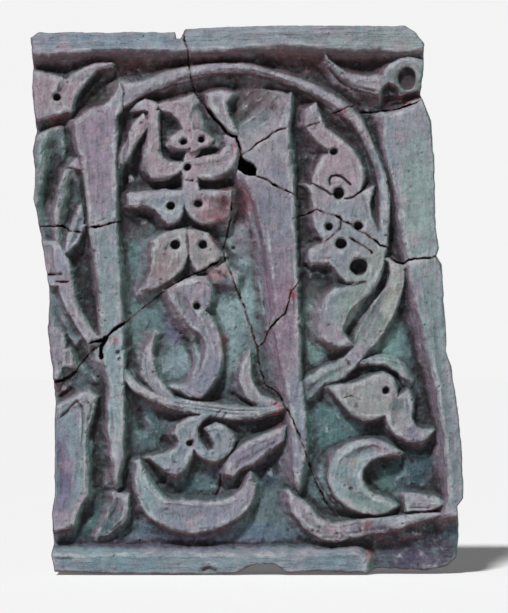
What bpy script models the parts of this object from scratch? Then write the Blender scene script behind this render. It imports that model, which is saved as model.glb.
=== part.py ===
"""A carved clay tile: a sunk ground between two plain bands, with tapered uprights, a large raised ring,
leaves with drilled eyes and plain curved strokes. It was broken and put together again.

The tile stands upright: its carved front faces -Y, its flat back lies in the plane y = 0, +Z is up, and
the origin is the middle of the back. The carving is drawn on a sheet of 315 by 400 units, from its own
middle, and scaled to the tile's width and height. Heights of the relief are shares of its depth.
"""

import math

import bmesh
import bpy
from mathutils import Matrix, Vector

# Driving dimensions in metres
TILE_WIDTH = 0.315
TILE_HEIGHT = 0.400
TILE_THICKNESS = 0.050     # flat back to the face of the two bands
RELIEF_DEPTH = 0.014       # face of the bands down to the sunk ground
EYE_DEPTH = 0.011          # drilled eyes, below the leaf that they are drilled in
CRACK_DEPTH = 0.004        # cracks, below the ground
MISSING_FLOOR = 0.012      # clay left behind the deep hole where a piece is missing
TRIM_MARGIN = 0.004        # cutters reach this far past the faces that they cut

# The sheet that the carving is drawn on
SHEET_WIDTH = 315.0
SHEET_HEIGHT = 400.0
SHEET_EDGE = 175.0         # forms that run out at a side of the tile are drawn to here and trimmed
SPAN = 5.5                 # usual length of the straight pieces of a curved outline
LEAF = 0.86                # height of leaves and strokes, as a share of the relief
SHAFT = 0.95               # height of the uprights
RIM = 0.62                 # height of thin lower rims
ROOT = -0.25               # how far the raised forms are sunk into the ground
UNEVEN = 0.02              # the carver's hand: by how much of the relief heights and roots differ
STRIDE = 0.618             # spreads those differences, so that no two forms share a plane
DRILL_SIDES = 12
DRILL_TAPER = 0.8          # width of a drilled eye at its bottom, as a share of its mouth
CORNER_REACH = 1.8         # a flank reaches at most this many times its width past a corner,
HOLLOW_REACH = 1.1         # and this many past a hollow one
WELD = 0.00001             # corners closer than this are one

TIP = "tip"                # marks a point of an outline where the curve has a corner

CLAY = (0.36, 0.33, 0.34, 1.0)


def clear_scene():
    for item in list(bpy.data.objects):
        bpy.data.objects.remove(item, do_unlink=True)


def new_collection(name):
    group = bpy.data.collections.new(name)
    bpy.context.scene.collection.children.link(group)
    return group


def across(value):
    return value / SHEET_WIDTH * TILE_WIDTH


def upward(value):
    return value / SHEET_HEIGHT * TILE_HEIGHT


def height_of(share):
    """Distance from the back to a level of the relief: 0 is the ground and 1 the face of the bands."""
    return TILE_THICKNESS - RELIEF_DEPTH * (1.0 - share)


def uneven(number):
    """A small difference of height for the form of this number, not shared by any other form."""
    return UNEVEN * (number * STRIDE % 1.0)


def curved(points):
    """The closed outline through the points, smooth except at those marked TIP."""
    places = [Vector(point[:2]) for point in points]
    corner = [len(point) > 2 for point in points]
    count = len(places)
    outline = []
    for i in range(count):
        start, end = places[i], places[(i + 1) % count]
        length = (end - start).length
        outline.append(start)
        if corner[i] and corner[(i + 1) % count]:
            continue
        before = start * 2 - end if corner[i] else places[i - 1]
        after = end * 2 - start if corner[(i + 1) % count] else places[(i + 2) % count]
        slope_in = tangent(before, start, end, length)
        slope_out = tangent(start, end, after, length)
        steps = max(1, round(length / SPAN))
        for step in range(1, steps):
            t = step / steps
            outline.append(start * (2 * t**3 - 3 * t**2 + 1) + slope_in * (t**3 - 2 * t**2 + t)
                           + end * (3 * t**2 - 2 * t**3) + slope_out * (t**3 - t**2))
    return outline


def tangent(before, point, after, length):
    """Direction of the curve at a point, weighted by the nearer neighbour, for a span of this length."""
    back, ahead = (point - before).length, (after - point).length
    return ((point - before) / back * ahead + (after - point) / ahead * back) / (back + ahead) * length


def prism(name, outline, front, back):
    """A flat outline in the sheet's plane, extruded between two distances from the tile's back."""
    curve = bpy.data.curves.new(name, "CURVE")
    curve.dimensions = "2D"
    curve.fill_mode = "BOTH"
    curve.extrude = (front - back) / 2
    spline = curve.splines.new("POLY")
    spline.points.add(len(outline) - 1)
    for point, place in zip(spline.points, outline):
        point.co = (across(place.x), upward(place.y), 0.0, 1.0)
    spline.use_cyclic_u = True
    drawn = bpy.data.objects.new(name + "_curve", curve)
    drawn.rotation_euler = (math.pi / 2, 0.0, 0.0)
    drawn.location = (0.0, -(front + back) / 2, 0.0)
    cutters.objects.link(drawn)
    bpy.context.view_layer.update()
    evaluated = drawn.evaluated_get(bpy.context.evaluated_depsgraph_get())
    mesh = bpy.data.meshes.new_from_object(evaluated)
    mesh.name = name
    mesh.transform(drawn.matrix_world)
    bpy.data.objects.remove(drawn, do_unlink=True)
    bpy.data.curves.remove(curve)
    welded = bmesh.new()
    welded.from_mesh(mesh)
    bmesh.ops.remove_doubles(welded, verts=welded.verts, dist=WELD)
    bmesh.ops.recalc_face_normals(welded, faces=welded.faces)
    welded.to_mesh(mesh)
    welded.free()
    return as_tool(name, mesh)


def as_tool(name, mesh):
    tool = bpy.data.objects.new(name, mesh)
    tool.hide_render = True
    tool.display_type = "WIRE"
    cutters.objects.link(tool)
    return tool


def signed_area(outline):
    return sum(a.x * b.y - b.x * a.y for a, b in zip(outline, outline[1:] + outline[:1])) / 2


def spread(outline, west, east, other):
    """The outline moved outwards, by other, and by west or east where it looks to that side."""
    turn = 1.0 if signed_area(outline) > 0 else -1.0
    moved = []
    for i, place in enumerate(outline):
        arriving = (place - outline[i - 1]).normalized()
        leaving = (outline[(i + 1) % len(outline)] - place).normalized()
        normals = [Vector((way.y, -way.x)) * turn for way in (arriving, leaving)]
        bisector = (normals[0] + normals[1]).normalized()
        hollow = (arriving.x * leaving.y - arriving.y * leaving.x) * turn < 0
        limit = HOLLOW_REACH if hollow else CORNER_REACH
        stretch = min(1 / max(bisector.dot(normals[0]), 1 / limit), limit)
        side = west if bisector.x < 0 else east
        width = other + (side - other) * abs(bisector.x)
        moved.append(place + bisector * width * stretch)
    return moved


def raised(name, points, share=LEAF, flanks=(2.6, 1.4, 1.8)):
    """A raised form with its outline at its face, and flanks that spread down to the ground."""
    outline = curved(points)
    share -= uneven(len(forms))
    sunk = ROOT - uneven(len(forms))
    face, root = height_of(share), height_of(sunk)
    form = prism(name, outline, face, root)
    deeper = share - sunk
    foot = spread(outline, *[width * deeper / share for width in flanks])
    for vertex in form.data.vertices:
        if vertex.co.y < -(face + root) / 2:
            continue
        place = Vector((vertex.co.x / across(1.0), vertex.co.z / upward(1.0)))
        nearest = min(range(len(outline)), key=lambda i: (outline[i] - place).length)
        vertex.co.x = across(foot[nearest].x)
        vertex.co.z = upward(foot[nearest].y)
    forms.append(form)
    return form


def tilted(form, start, end, share, drop):
    """Planes a form down, from its face at start to drop lower at end, both places on the sheet."""
    run = Vector((across(end[0] - start[0]), upward(end[1] - start[1])))
    fall = RELIEF_DEPTH * drop
    normal = Vector((run.x * fall, -run.length_squared, run.y * fall)).normalized()
    hinge = Vector((across(start[0]), -height_of(share), upward(start[1])))
    edit = bmesh.new()
    edit.from_mesh(form.data)
    everything = edit.verts[:] + edit.edges[:] + edit.faces[:]
    cut = bmesh.ops.bisect_plane(edit, geom=everything, plane_co=hinge, plane_no=normal, clear_outer=True)
    rim = [part for part in cut["geom_cut"] if isinstance(part, bmesh.types.BMEdge)]
    bmesh.ops.edgeloop_fill(edit, edges=rim)
    bmesh.ops.triangulate(edit, faces=[face for face in edit.faces if len(face.verts) > 4])
    bmesh.ops.recalc_face_normals(edit, faces=edit.faces)
    edit.to_mesh(form.data)
    edit.free()


def drilled(name, x, z, radius, tall=None, share=LEAF):
    """A drilled eye: a round hole, or a taller one, that narrows a little to its bottom."""
    top = height_of(share) + TRIM_MARGIN
    bottom = height_of(share) - EYE_DEPTH
    middle = Vector((across(x), -(top + bottom) / 2, upward(z)))
    stretch = Matrix.Diagonal((1.0, 1.0, (tall or radius) / radius, 1.0))
    upright = Matrix.Rotation(math.pi / 2, 4, "X")
    edit = bmesh.new()
    bmesh.ops.create_cone(edit, cap_ends=True, segments=DRILL_SIDES, radius1=across(radius * DRILL_TAPER),
                          radius2=across(radius), depth=top - bottom,
                          matrix=Matrix.Translation(middle) @ stretch @ upright)
    mesh = bpy.data.meshes.new(name)
    edit.to_mesh(mesh)
    edit.free()
    cuts.append(as_tool(name, mesh))


def cracked(name, route, width, ends=(0.15, 0.15)):
    """A crack along a route, as wide as told in the middle and narrowing to a share of that at its ends."""
    route = [Vector(place) for place in route]
    sides = ([], [])
    for i, place in enumerate(route):
        before, after = route[max(i - 1, 0)], route[min(i + 1, len(route) - 1)]
        way = (after - before).normalized()
        share = ends[0] if i == 0 else ends[1] if i == len(route) - 1 else 1.0
        reach = Vector((-way.y, way.x)) * width * share / 2
        sides[0].append(place + reach)
        sides[1].append(place - reach)
    reach = TRIM_MARGIN * (1.0 + uneven(len(cuts)))
    depth = CRACK_DEPTH * (1.0 + uneven(len(cuts)))
    hollow = prism(name, sides[0] + sides[1][::-1], TILE_THICKNESS + reach, height_of(0.0) - depth)
    cuts.append(hollow)


def tile_edge():
    """The worn and broken outline of the tile."""
    top = [(-159.5, 191.6), (-153.7, 195.5), (-54.0, 195.5), (-53.5, 190.9), (-50.5, 190.7),
           (-47.7, 197.6), (-15.6, 199.5), (30.0, 200.5), (111.9, 200.4), (119.6, 195.8), (126.5, 187.0)]
    right = [(126.0, 165.0), (123.9, 150.7), (131.6, 131.7), (134.1, 96.0), (134.8, 53.6), (137.3, 38.8),
             (135.5, 33.0), (139.4, 26.8), (142.5, -23.0), (142.5, -36.0), (146.1, -47.0), (149.8, -71.0),
             (153.4, -101.0), (155.0, -130.0), (155.0, -142.5), (150.6, -148.5), (152.5, -169.0),
             (150.6, -187.0), (143.8, -193.0), (129.0, -196.0)]
    bottom = [(92.3, -194.5), (86.5, -197.4), (43.7, -196.0), (28.0, -197.5), (18.7, -191.0),
              (4.9, -191.0), (-12.8, -197.9), (-60.0, -198.8), (-142.0, -196.4)]
    left = [(-144.5, -184.0), (-142.8, -175.6), (-144.0, -154.0), (-142.0, -142.0), (-141.6, -74.0),
            (-144.0, -49.0), (-147.0, -19.7), (-146.1, 11.0), (-151.2, 42.3), (-157.4, 75.0),
            (-156.2, 93.0), (-158.1, 109.0), (-155.6, 124.0), (-158.5, 155.0), (-157.6, 171.0)]
    return [Vector(place) for place in top + right + bottom + left]


def bands():
    """The top band with its long slope, and the bottom band, broken off short at the right."""
    far = SHEET_HEIGHT * 0.6
    raised("top_band", [(-SHEET_EDGE, far, TIP), (-SHEET_EDGE, 180.5, TIP), (-140, 180.7), (-118, 183),
                        (-21, 183.2), (5, 186), (45, 186), (60, 184), (90, 184), (113, 181.7),
                        (126, 185, TIP), (SHEET_EDGE, 186, TIP), (SHEET_EDGE, far, TIP)],
           share=1.0, flanks=(11.5, 11.5, 11.5))
    raised("bottom_band", [(-SHEET_EDGE, -far, TIP), (-SHEET_EDGE, -184, TIP), (60, -183.5), (79, -183.2),
                           (84.5, -187, TIP), (84, -far, TIP)],
           share=1.0, flanks=(7.0, 7.0, 7.0))


def left_uprights():
    """The first upright with its short tail stroke, and the broad one cut by the tile's left edge."""
    raised("upright_left", [(-127.6, 131, TIP), (-115.6, 138.4), (-106, 142), (-98.7, 149.5),
                            (-94.5, 157.8, TIP), (-91.8, 150, TIP), (-92.2, 141, TIP), (-97.3, 135, TIP),
                            (-97.3, 58, TIP), (-94.5, 24, TIP), (-92.6, -20, TIP), (-91.8, -49, TIP),
                            (-92.2, -112, TIP), (-97, -135, TIP), (-101.1, -107, TIP), (-102.8, -82),
                            (-103, -57), (-107.4, -44, TIP), (-109.3, 0), (-111, 22), (-117.7, 55, TIP),
                            (-119.2, 80), (-122, 100), (-126, 115)], share=SHAFT, flanks=(3.8, 2.6, 3.0))
    tail = raised("tail_stroke", [(-98.5, -139, TIP), (-99.5, -147), (-105.3, -159), (-111, -170, TIP),
                                  (-102, -168), (-93.6, -162), (-88.6, -150.6), (-88.2, -140, TIP)],
                  share=0.75)
    tilted(tail, (-93, -145), (-103, -168), 0.75, 0.35)
    raised("upright_edge", [(-SHEET_EDGE, -76, TIP), (-140.3, -75.6), (-129.5, -70.3), (-117, -66),
                            (-112, -69.8, TIP), (-114, -79), (-117.6, -90), (-117.4, -110),
                            (-117.8, -140.6, TIP), (-122.8, -147), (-128.6, -163, TIP), (-137.8, -165.6),
                            (-SHEET_EDGE, -166, TIP)], share=0.9, flanks=(2.6, 3.6, 2.6))


def left_leaves():
    """The leaves along the tile's left edge, some dished, and the bent stem under them."""
    raised("corner_leaf", [(-SHEET_EDGE, 166.5, TIP), (-153, 166.6), (-142, 163.6), (-133.3, 160.9, TIP),
                           (-126, 166), (-113, 172.2), (-100, 172.9, TIP), (-110.7, 168.3), (-120, 158.5),
                           (-127.5, 146.5), (-130, 138.7, TIP), (-141.7, 135.8), (-148, 133.6),
                           (-SHEET_EDGE, 136, TIP)])
    wide = raised("edge_leaf", [(-SHEET_EDGE, 118, TIP), (-155, 120), (-147, 123.4), (-138, 126.5, TIP),
                                (-133.5, 112), (-135.5, 97), (-141.5, 80), (-143.4, 64),
                                (-143.8, 43, TIP), (-SHEET_EDGE, 43, TIP)], share=0.8)
    tilted(wide, (-151, 110), (-137, 106), 0.8, 0.6)
    dished = raised("second_leaf", [(-134.2, 96, TIP), (-139.3, 82), (-141.9, 62), (-140.6, 46),
                                    (-140.3, 33, TIP), (-134.5, 35), (-131.5, 51), (-127, 63),
                                    (-122.5, 75), (-122, 88), (-123.5, 96, TIP)], share=0.8)
    tilted(dished, (-137, 76), (-125, 74), 0.8, 0.55)
    raised("third_leaf", [(-122.7, 69.5, TIP), (-120.8, 60), (-122.7, 50), (-126, 43), (-134.7, 35, TIP),
                          (-134, 42), (-130.8, 54), (-126, 65)], share=0.8)
    raised("leaf_scrap", [(-131.8, 98.4, TIP), (-124.8, 105, TIP), (-122.6, 96.2, TIP)], share=0.7)
    raised("edge_stem", [(-SHEET_EDGE, 44, TIP), (-139, 43.5, TIP), (-134.4, 35, TIP), (-130, 22),
                         (-128.6, 9), (-125, -2), (-116.5, -17), (-109.8, -27.4, TIP), (-117, -31.4, TIP),
                         (-127, -16), (-136.2, 1), (-139, 12, TIP), (-SHEET_EDGE, 12, TIP)], share=0.78)
    raised("edge_ground", [(-SHEET_EDGE, 14, TIP), (-136, 14, TIP), (-132, -8), (-121, -25, TIP),
                           (-127, -31, TIP), (-136, -20, TIP), (-SHEET_EDGE, -20, TIP)], share=0.35)
    raised("broken_stub", [(-SHEET_EDGE, -19, TIP), (-137, -19, TIP), (-134.5, -30), (-136.5, -46),
                           (-139.5, -56, TIP), (-SHEET_EDGE, -57, TIP)], share=0.55)
    raised("stub_knob", [(-136.5, -35, TIP), (-131, -34.5), (-128.6, -39), (-128.4, -47, TIP),
                         (-136.5, -47.5, TIP)], share=0.62, flanks=(1.2, 1.2, 1.2))


def ring():
    """The large ring: its arch, the curl that it ends in, the strand beside it and its bottom stretch."""
    raised("ring_arch", [(-91.2, 157.5, TIP), (-75, 159.9), (-52, 168.4), (-30, 171.5), (-1.5, 171.5),
                         (19.6, 165.8), (42, 158.7), (62, 148), (76.6, 137.3), (88, 117.5), (96, 99),
                         (101, 78), (101.2, 60), (98.5, 38), (94.5, 20), (87, 8), (76, -2), (69, -13),
                         (67.4, -23), (75.5, -31.7, TIP), (58.8, -31.2), (51.3, -25), (50.4, -12),
                         (54, 0), (63, 8.5), (74, 11.5), (85, 17.5), (91, 32), (94, 50), (94.8, 70),
                         (92, 92), (84.4, 113.5), (74, 130), (60, 140.2), (40.8, 152.6), (19.6, 161.2),
                         (-4.4, 166.2), (-20, 166.2), (-45, 161), (-62.7, 156), (-77, 150.6),
                         (-91.2, 141.8, TIP)], share=0.88, flanks=(6.0, 2.0, 2.6))
    strand = raised("strand", [(100.4, 32, TIP), (106, 29), (111.4, 26.3, TIP), (112.2, 18), (108.3, 0),
                               (102.2, -13.4), (94, -27), (85, -37), (73, -50), (62.5, -57.8),
                               (54.7, -58.2), (48.9, -65), (38.8, -73.3, TIP), (36, -61, TIP),
                               (52.1, -50), (68.8, -41.7), (77.2, -25), (83.9, -12.5), (90.5, 0),
                               (98.5, 10.5), (102.2, 20)], share=0.72)
    tilted(strand, (96, -20), (60, -60), 0.72, 0.2)
    raised("ring_foot", [(-91.5, -48.5, TIP), (-80.8, -60.5), (-66.6, -68), (-51.6, -71.3), (-35, -73.8),
                         (-18, -76.3), (0, -77.2), (13.4, -77.2), (23.5, -73.5, TIP), (25, -77.5, TIP),
                         (14.5, -81.3), (-1.6, -84.4), (-18.3, -84.7), (-39, -81.5), (-55, -78),
                         (-72.5, -71.5), (-84.9, -63.8), (-91.5, -56.5, TIP)], share=0.8,
           flanks=(2.0, 1.6, 2.4))


def middle_crown():
    """The topmost leaf group in the ring, with its bowl, arms, hood and the horn beside the crack."""
    raised("hook_leaf", [(-85.5, 139, TIP), (-81.8, 143.8), (-76, 147.2), (-70.5, 145.3),
                         (-65.5, 142.4, TIP), (-71, 137.5, TIP), (-77, 139)], share=0.85)
    raised("slanted_leaf", [(-77.4, 136.6, TIP), (-84, 129), (-89, 118), (-94.6, 106), (-94.6, 97, TIP),
                            (-90.2, 101), (-85.3, 112), (-78.3, 121), (-72.8, 128.5, TIP)], share=0.8)
    raised("bowl", [(-73.2, 139, TIP), (-74.3, 122), (-76.6, 99), (-72, 89.8), (-63, 89.3),
                    (-50.2, 95.5, TIP), (-41.7, 91.7), (-28.3, 88.8), (-17, 94.5), (-9, 105), (-8.3, 113),
                    (-11, 119), (-17.5, 120, TIP), (-17.2, 113), (-22.5, 107), (-34.7, 105), (-46, 102),
                    (-58, 100.8), (-63.5, 104), (-65.2, 113), (-66.2, 139, TIP)])
    hood = raised("hood", [(-67, 142.8, TIP), (-58, 145.3), (-48, 147.5), (-40, 150.5, TIP), (-30, 140),
                           (-22, 130), (-18.2, 119), (-17.5, 109, TIP), (-27, 113.6), (-36, 109.5),
                           (-42, 101, TIP), (-48, 101, TIP), (-46.5, 110), (-50.5, 130), (-58, 138),
                           (-65, 139, TIP)], share=0.7, flanks=(1.2, 1.2, 1.2))
    tilted(hood, (-42, 124), (-20, 126), 0.7, 0.35)
    raised("hood_rim", [(-67.2, 143.2, TIP), (-60, 145), (-51.5, 143), (-45, 136), (-41, 127),
                        (-40, 117, TIP), (-47.5, 121, TIP), (-50.8, 130), (-57, 137.2),
                        (-64.5, 139, TIP)], share=0.82)
    raised("left_petal", [(-59.6, 113.3, TIP), (-56.5, 119.5), (-50, 124.3), (-45, 121),
                          (-41.5, 113.5, TIP), (-46, 110.4), (-52, 110.6)], share=0.9,
           flanks=(1.4, 1.4, 1.4))
    raised("right_petal", [(-42.5, 124, TIP), (-36.5, 124.6), (-30.5, 121.8), (-26.3, 118, TIP),
                           (-31, 113.4), (-37, 110.8), (-43.5, 107.5, TIP)], share=0.9,
           flanks=(1.4, 1.4, 1.4))
    raised("neck", [(-50.4, 98, TIP), (-44.8, 103, TIP), (-40.8, 95), (-38.2, 87), (-36.8, 78, TIP),
                    (-50.6, 78, TIP), (-48.2, 87)], share=0.84, flanks=(1.2, 1.2, 1.2))
    raised("horn", [(-30.4, 145, TIP), (-29.2, 150.6), (-22, 152.4), (-12.6, 151, TIP), (-17.4, 145),
                    (-16.6, 138), (-13, 130), (-9.2, 122, TIP), (-16, 124.5), (-24, 134),
                    (-30, 141.5, TIP)], share=0.88)


def middle_tiers():
    """Below the crown: a bar with two lobes, a second pair of lobes, an S-shaped leaf and two crescents."""
    raised("lobed_bar", [(-88.8, 77.6, TIP), (-80, 78.8), (-70.5, 79.8), (-55, 80.2), (-13.2, 80.3, TIP),
                         (-13.8, 70), (-15.5, 61.3, TIP), (-22.7, 60), (-27.5, 57.3), (-34.7, 56.2),
                         (-40, 58.8), (-44.4, 63), (-47, 68), (-48, 73, TIP), (-48.7, 66), (-51.2, 60.5),
                         (-55.6, 56.6), (-60, 56.2), (-64.5, 60.5), (-69, 67), (-74.5, 69.4),
                         (-88.8, 70, TIP)])
    raised("lobed_skirt", [(-70, 44, TIP), (-64.9, 47.5), (-54.4, 51.7), (-45.3, 51.8), (-37, 51),
                           (-31.2, 49.4, TIP), (-26, 42), (-19.6, 33, TIP), (-26, 27.9), (-34, 23.8),
                           (-38.6, 21.6, TIP), (-41.4, 26), (-44.5, 37.4, TIP), (-46.9, 29),
                           (-49.7, 23.5), (-54.6, 19), (-61.5, 13.6), (-70.5, 9.9), (-78, 8.4, TIP),
                           (-73.6, 17.5), (-70.9, 27), (-70.9, 36)], share=0.84)
    raised("s_leaf", [(-60.8, 7.7, TIP), (-54.4, 12.6), (-48.3, 14.8), (-41.7, 17.6), (-31, 18, TIP),
                      (-27.6, 9.5), (-29.3, -1.3), (-33.3, -6.5, TIP), (-29, -11), (-23.3, -21.3),
                      (-20, -35.5), (-21.6, -48.8), (-27, -59.5), (-36, -70.2, TIP), (-43.5, -69.3),
                      (-51.6, -63, TIP), (-43, -58.3), (-35.8, -48), (-31.2, -35.5), (-33.3, -27),
                      (-40.8, -18.8), (-48.3, -10.5), (-55, -2)], share=0.82, flanks=(7.5, 1.6, 2.2))
    raised("broken_leaf", [(-31.5, 23.5, TIP), (-22.7, 26.5), (-17.5, 29.5, TIP), (-13.5, 22),
                           (-7.8, 19.5, TIP), (-9.3, 11.4, TIP), (-19, 12.4), (-28, 13.5, TIP)],
           share=0.55, flanks=(1.4, 1.4, 1.4))
    raised("left_crescent", [(-68.7, -22.6, TIP), (-75.4, -33), (-78.3, -47), (-76, -57.5), (-68, -66.5),
                             (-52, -72.5, TIP), (-63.5, -60.5), (-69.3, -50), (-71, -38)], share=RIM)
    raised("right_crescent", [(0, -36.5, TIP), (-5.6, -46), (-7.5, -56), (-3.8, -67), (3, -75),
                              (12, -79, TIP), (19, -73), (8, -68.8), (2, -59), (0.8, -47)], share=RIM)


def middle_upright():
    """The middle upright with its wide left flank and the scooped slope above it."""
    raised("upright_middle", [(29.5, 150, TIP), (30, 141), (27.9, 127, TIP), (29, 113), (31.8, 79, TIP),
                              (32.7, 50), (33.6, 32, TIP), (35.5, -12.5), (37.2, -58), (39.6, -76),
                              (41, -92), (40.5, -108), (39, -121), (35.6, -134, TIP), (32.4, -121),
                              (31, -100), (30, -80), (26.5, -62), (22, -42), (18.5, -20), (16, 0),
                              (13.3, 25), (10.5, 46), (7.5, 60), (3.5, 73), (-3.4, 88.8, TIP),
                              (-5.4, 108, TIP), (9, 117.3, TIP), (20.5, 123.8, TIP), (25, 139)],
           share=SHAFT, flanks=(8.0, 1.8, 3.0))
    scoop = raised("scoop", [(-6, 109, TIP), (-9.5, 122), (-12.8, 131), (-16.2, 141), (-14, 150, TIP),
                             (4, 154), (29, 150, TIP), (24, 124, TIP)], share=0.93,
                   flanks=(1.6, 1.2, 2.0))
    tilted(scoop, (21, 125), (-3, 150), 0.93, 0.85)


def right_upright():
    """The right upright, whose right side is the tile's edge, in two lengths that a break parts."""
    raised("upright_right", [(97.8, 133.8, TIP), (110, 138.8), (126, 147, TIP), (SHEET_EDGE, 147, TIP),
                             (SHEET_EDGE, -155, TIP), (141, -155, TIP), (142.5, -148.5),
                             (145.2, -141, TIP), (144.3, -130), (142.5, -107), (138, -72), (134, -53),
                             (129.3, -35), (124.6, -15), (120.3, 0), (116.5, 20), (114.7, 31),
                             (111.2, 50), (107.9, 72), (104, 91), (99.9, 104), (98.2, 119)], share=SHAFT,
           flanks=(7.5, 2.0, 3.0))


def right_leaves():
    """The leaf group at the right inside the ring, the leaf at the top right corner and the lower one."""
    raised("pointed_leaf", [(47.7, 144, TIP), (49.6, 138), (52, 131.7), (54.8, 126.4), (61, 121),
                            (67.4, 116.8), (73.5, 110.5), (79, 103), (82.3, 96), (82.8, 88.5), (80.5, 81),
                            (75, 76.3), (66, 75.4), (58.3, 77.8, TIP), (52, 82), (45.3, 84.3, TIP),
                            (46, 90), (49.8, 99.4), (53.2, 104.8), (58.4, 107.4, TIP), (57.4, 110.6, TIP),
                            (50.5, 115.4), (44.9, 120.4), (40, 127.4), (42, 140)])
    raised("eyed_leaf", [(40, 84.6, TIP), (47, 83.4), (57, 78.6), (66, 76.2), (76, 76.8), (83, 80),
                         (90.4, 83.6, TIP), (87.4, 75), (87.2, 66), (89.6, 58), (95, 48, TIP), (93.5, 28),
                         (86.5, 14.5, TIP), (78, 13.6), (70, 14.4, TIP), (63.4, 21.8), (60.2, 26),
                         (55.5, 28.8), (49.8, 28.8), (44, 26.6, TIP), (42.6, 32), (43.8, 37),
                         (48.5, 40.8), (56.5, 43.2, TIP), (51, 47), (46.8, 54), (45.6, 62), (47, 70),
                         (45, 78)], share=0.84)
    raised("corner_crescent", [(54.7, 179.5, TIP), (58.3, 174.7), (63.2, 170.2), (68.9, 165.7),
                               (76, 163.3), (88, 162.6), (96.4, 163.7, TIP), (98.2, 168), (102.3, 172.4),
                               (108.3, 176), (115, 177.4), (122, 175.6), (SHEET_EDGE, 170, TIP),
                               (SHEET_EDGE, 153, TIP), (119.6, 153.6), (110, 151.4, TIP), (106.5, 156.5),
                               (100.8, 159.6), (97.6, 156.8), (93.5, 151, TIP), (85, 152.5), (74.5, 156),
                               (65.3, 162.5), (58.4, 170.6)], share=0.84, flanks=(4.0, 1.6, 3.6))
    raised("lower_leaf", [(57.3, -62.4, TIP), (66, -61), (75.6, -60), (83.9, -57), (90.6, -53.8),
                          (98, -52.8), (104, -55.7), (107.3, -62.4), (107, -69.8, TIP), (111, -67.6),
                          (115, -65.4, TIP), (118.4, -73), (117.8, -84), (120.5, -92), (133, -94, TIP),
                          (127.3, -100), (119, -101.8), (108, -98), (101.4, -91.5), (98.5, -82.8, TIP),
                          (90.6, -84.9), (82.3, -85.7), (74, -82.5), (68, -76), (62.5, -69)], share=0.85)
    arch = raised("leaf_arch", [(77, -44.5, TIP), (86.5, -41.5), (97.3, -40), (107, -42.5), (114, -49.5),
                                (116.5, -58, TIP), (110.5, -54.5), (104.5, -49), (95, -46), (84, -46)],
                  share=0.5, flanks=(2.0, 2.0, 2.0))
    tilted(arch, (97, -46), (99, -38), 0.5, 0.35)


def bottom_leaves():
    """The trefoil and the scroll that hang from the ring at the bottom left."""
    raised("trefoil", [(-34, -83, TIP), (-44, -84.8), (-52.3, -90), (-54.4, -96), (-51, -102),
                       (-57.8, -109), (-72.5, -114, TIP), (-65, -120.6), (-54.4, -126), (-46, -120),
                       (-42.4, -111.5, TIP), (-41, -105, TIP), (-41.5, -97)])
    raised("scroll", [(-28, -82, TIP), (-34.5, -86.2), (-38.6, -92), (-38.3, -98.5), (-35, -104.5),
                      (-30.4, -109), (-26.4, -107.6), (-25.6, -103), (-28.6, -98), (-31.8, -92, TIP),
                      (-25, -88.6), (-17, -92), (-11.8, -101), (-15, -110.5), (-25, -116), (-35, -113.5),
                      (-41.5, -106.5), (-43.5, -98), (-41.5, -89), (-35, -81, TIP)], share=0.85,
           flanks=(1.2, 1.2, 1.4))


def plain_strokes():
    """Strokes in the rows at the foot of the tile. They are plain shapes: a boat, a slanted bar, a moon,
    a wedge and a long curved blade, each apart from its neighbours."""
    raised("boat_stroke", [(-80.5, -116.5, TIP), (-83, -130), (-81, -143), (-73, -156), (-60, -164.5),
                           (-41, -167.8), (-21, -163.5), (-6, -154.5), (2, -143), (3.6, -133),
                           (0.5, -124.5, TIP), (-5, -136), (-15, -143.5), (-41, -145.8), (-62, -142.8),
                           (-70.5, -133.5)], share=0.88)
    raised("bar_stroke", [(-18.6, -125, TIP), (-17.2, -117), (-10, -108.5), (4, -100.5),
                          (26.5, -90.5, TIP), (24.5, -100.8, TIP), (13, -109.5), (3, -116), (-6, -120.5),
                          (-12, -127, TIP)], share=0.85)
    raised("moon_stroke", [(109.4, -109.5, TIP), (98, -103.2), (83, -101.4), (68.5, -105.4), (59, -115.5),
                           (56.4, -127), (60.5, -139.5), (71, -149.2), (84.5, -154), (98, -153.8),
                           (107.5, -148.5, TIP), (96, -143), (86.5, -137.8), (81.6, -129), (82.4, -120.5),
                           (88, -114.8), (98, -111.6)], share=0.88)
    raised("wedge_stroke", [(112.5, -140.6, TIP), (128, -141.2), (138, -143), (142.3, -147, TIP),
                            (133, -150.8), (113.5, -152.2, TIP)], share=0.82)
    raised("blade_stroke", [(28.6, -139, TIP), (31, -152), (37, -161), (46, -169), (56.5, -173.6),
                            (69, -172.6), (82.6, -169.7), (102, -165.8), (121.5, -160),
                            (141, -153.8, TIP), (124, -154.6), (102, -156.8), (84, -158.2), (71, -160.4),
                            (60, -161.8), (50, -157.5), (42.5, -149)], share=0.85, flanks=(3.6, 1.6, 2.0))


def eyes():
    """The drilled eyes of the leaves, and the larger sockets bored in the same way."""
    round_eyes = [(-140.3, 148.6, 2.8), (-48.4, 116, 2.6), (-35.4, 117.6, 2.6), (-45.6, 97.7, 2.8),
                  (-57.4, 69.7, 3.3), (-37.8, 70.9, 2.9), (-54.3, 41.2, 3.6), (-34.2, 40.9, 3.3),
                  (-38.8, -3.5, 2.7), (-43.8, -103, 2.4), (60.8, 108.9, 2.7), (57.2, 54.3, 2.8),
                  (78.7, 55, 3.4), (98.5, -65, 2.7)]
    for number, (x, z, radius) in enumerate(round_eyes, start=1):
        drilled(f"eye_{number}", x, z, radius)
    drilled("egg_socket", 64.6, 78.6, 3.9, tall=4.6)
    drilled("flat_socket", 66.2, 42.0, 4.4, tall=4.0)
    drilled("large_socket", 79.0, 25.0, 6.3)
    drilled("corner_socket", 114.3, 162.0, 6.7, tall=9.0)


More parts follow.
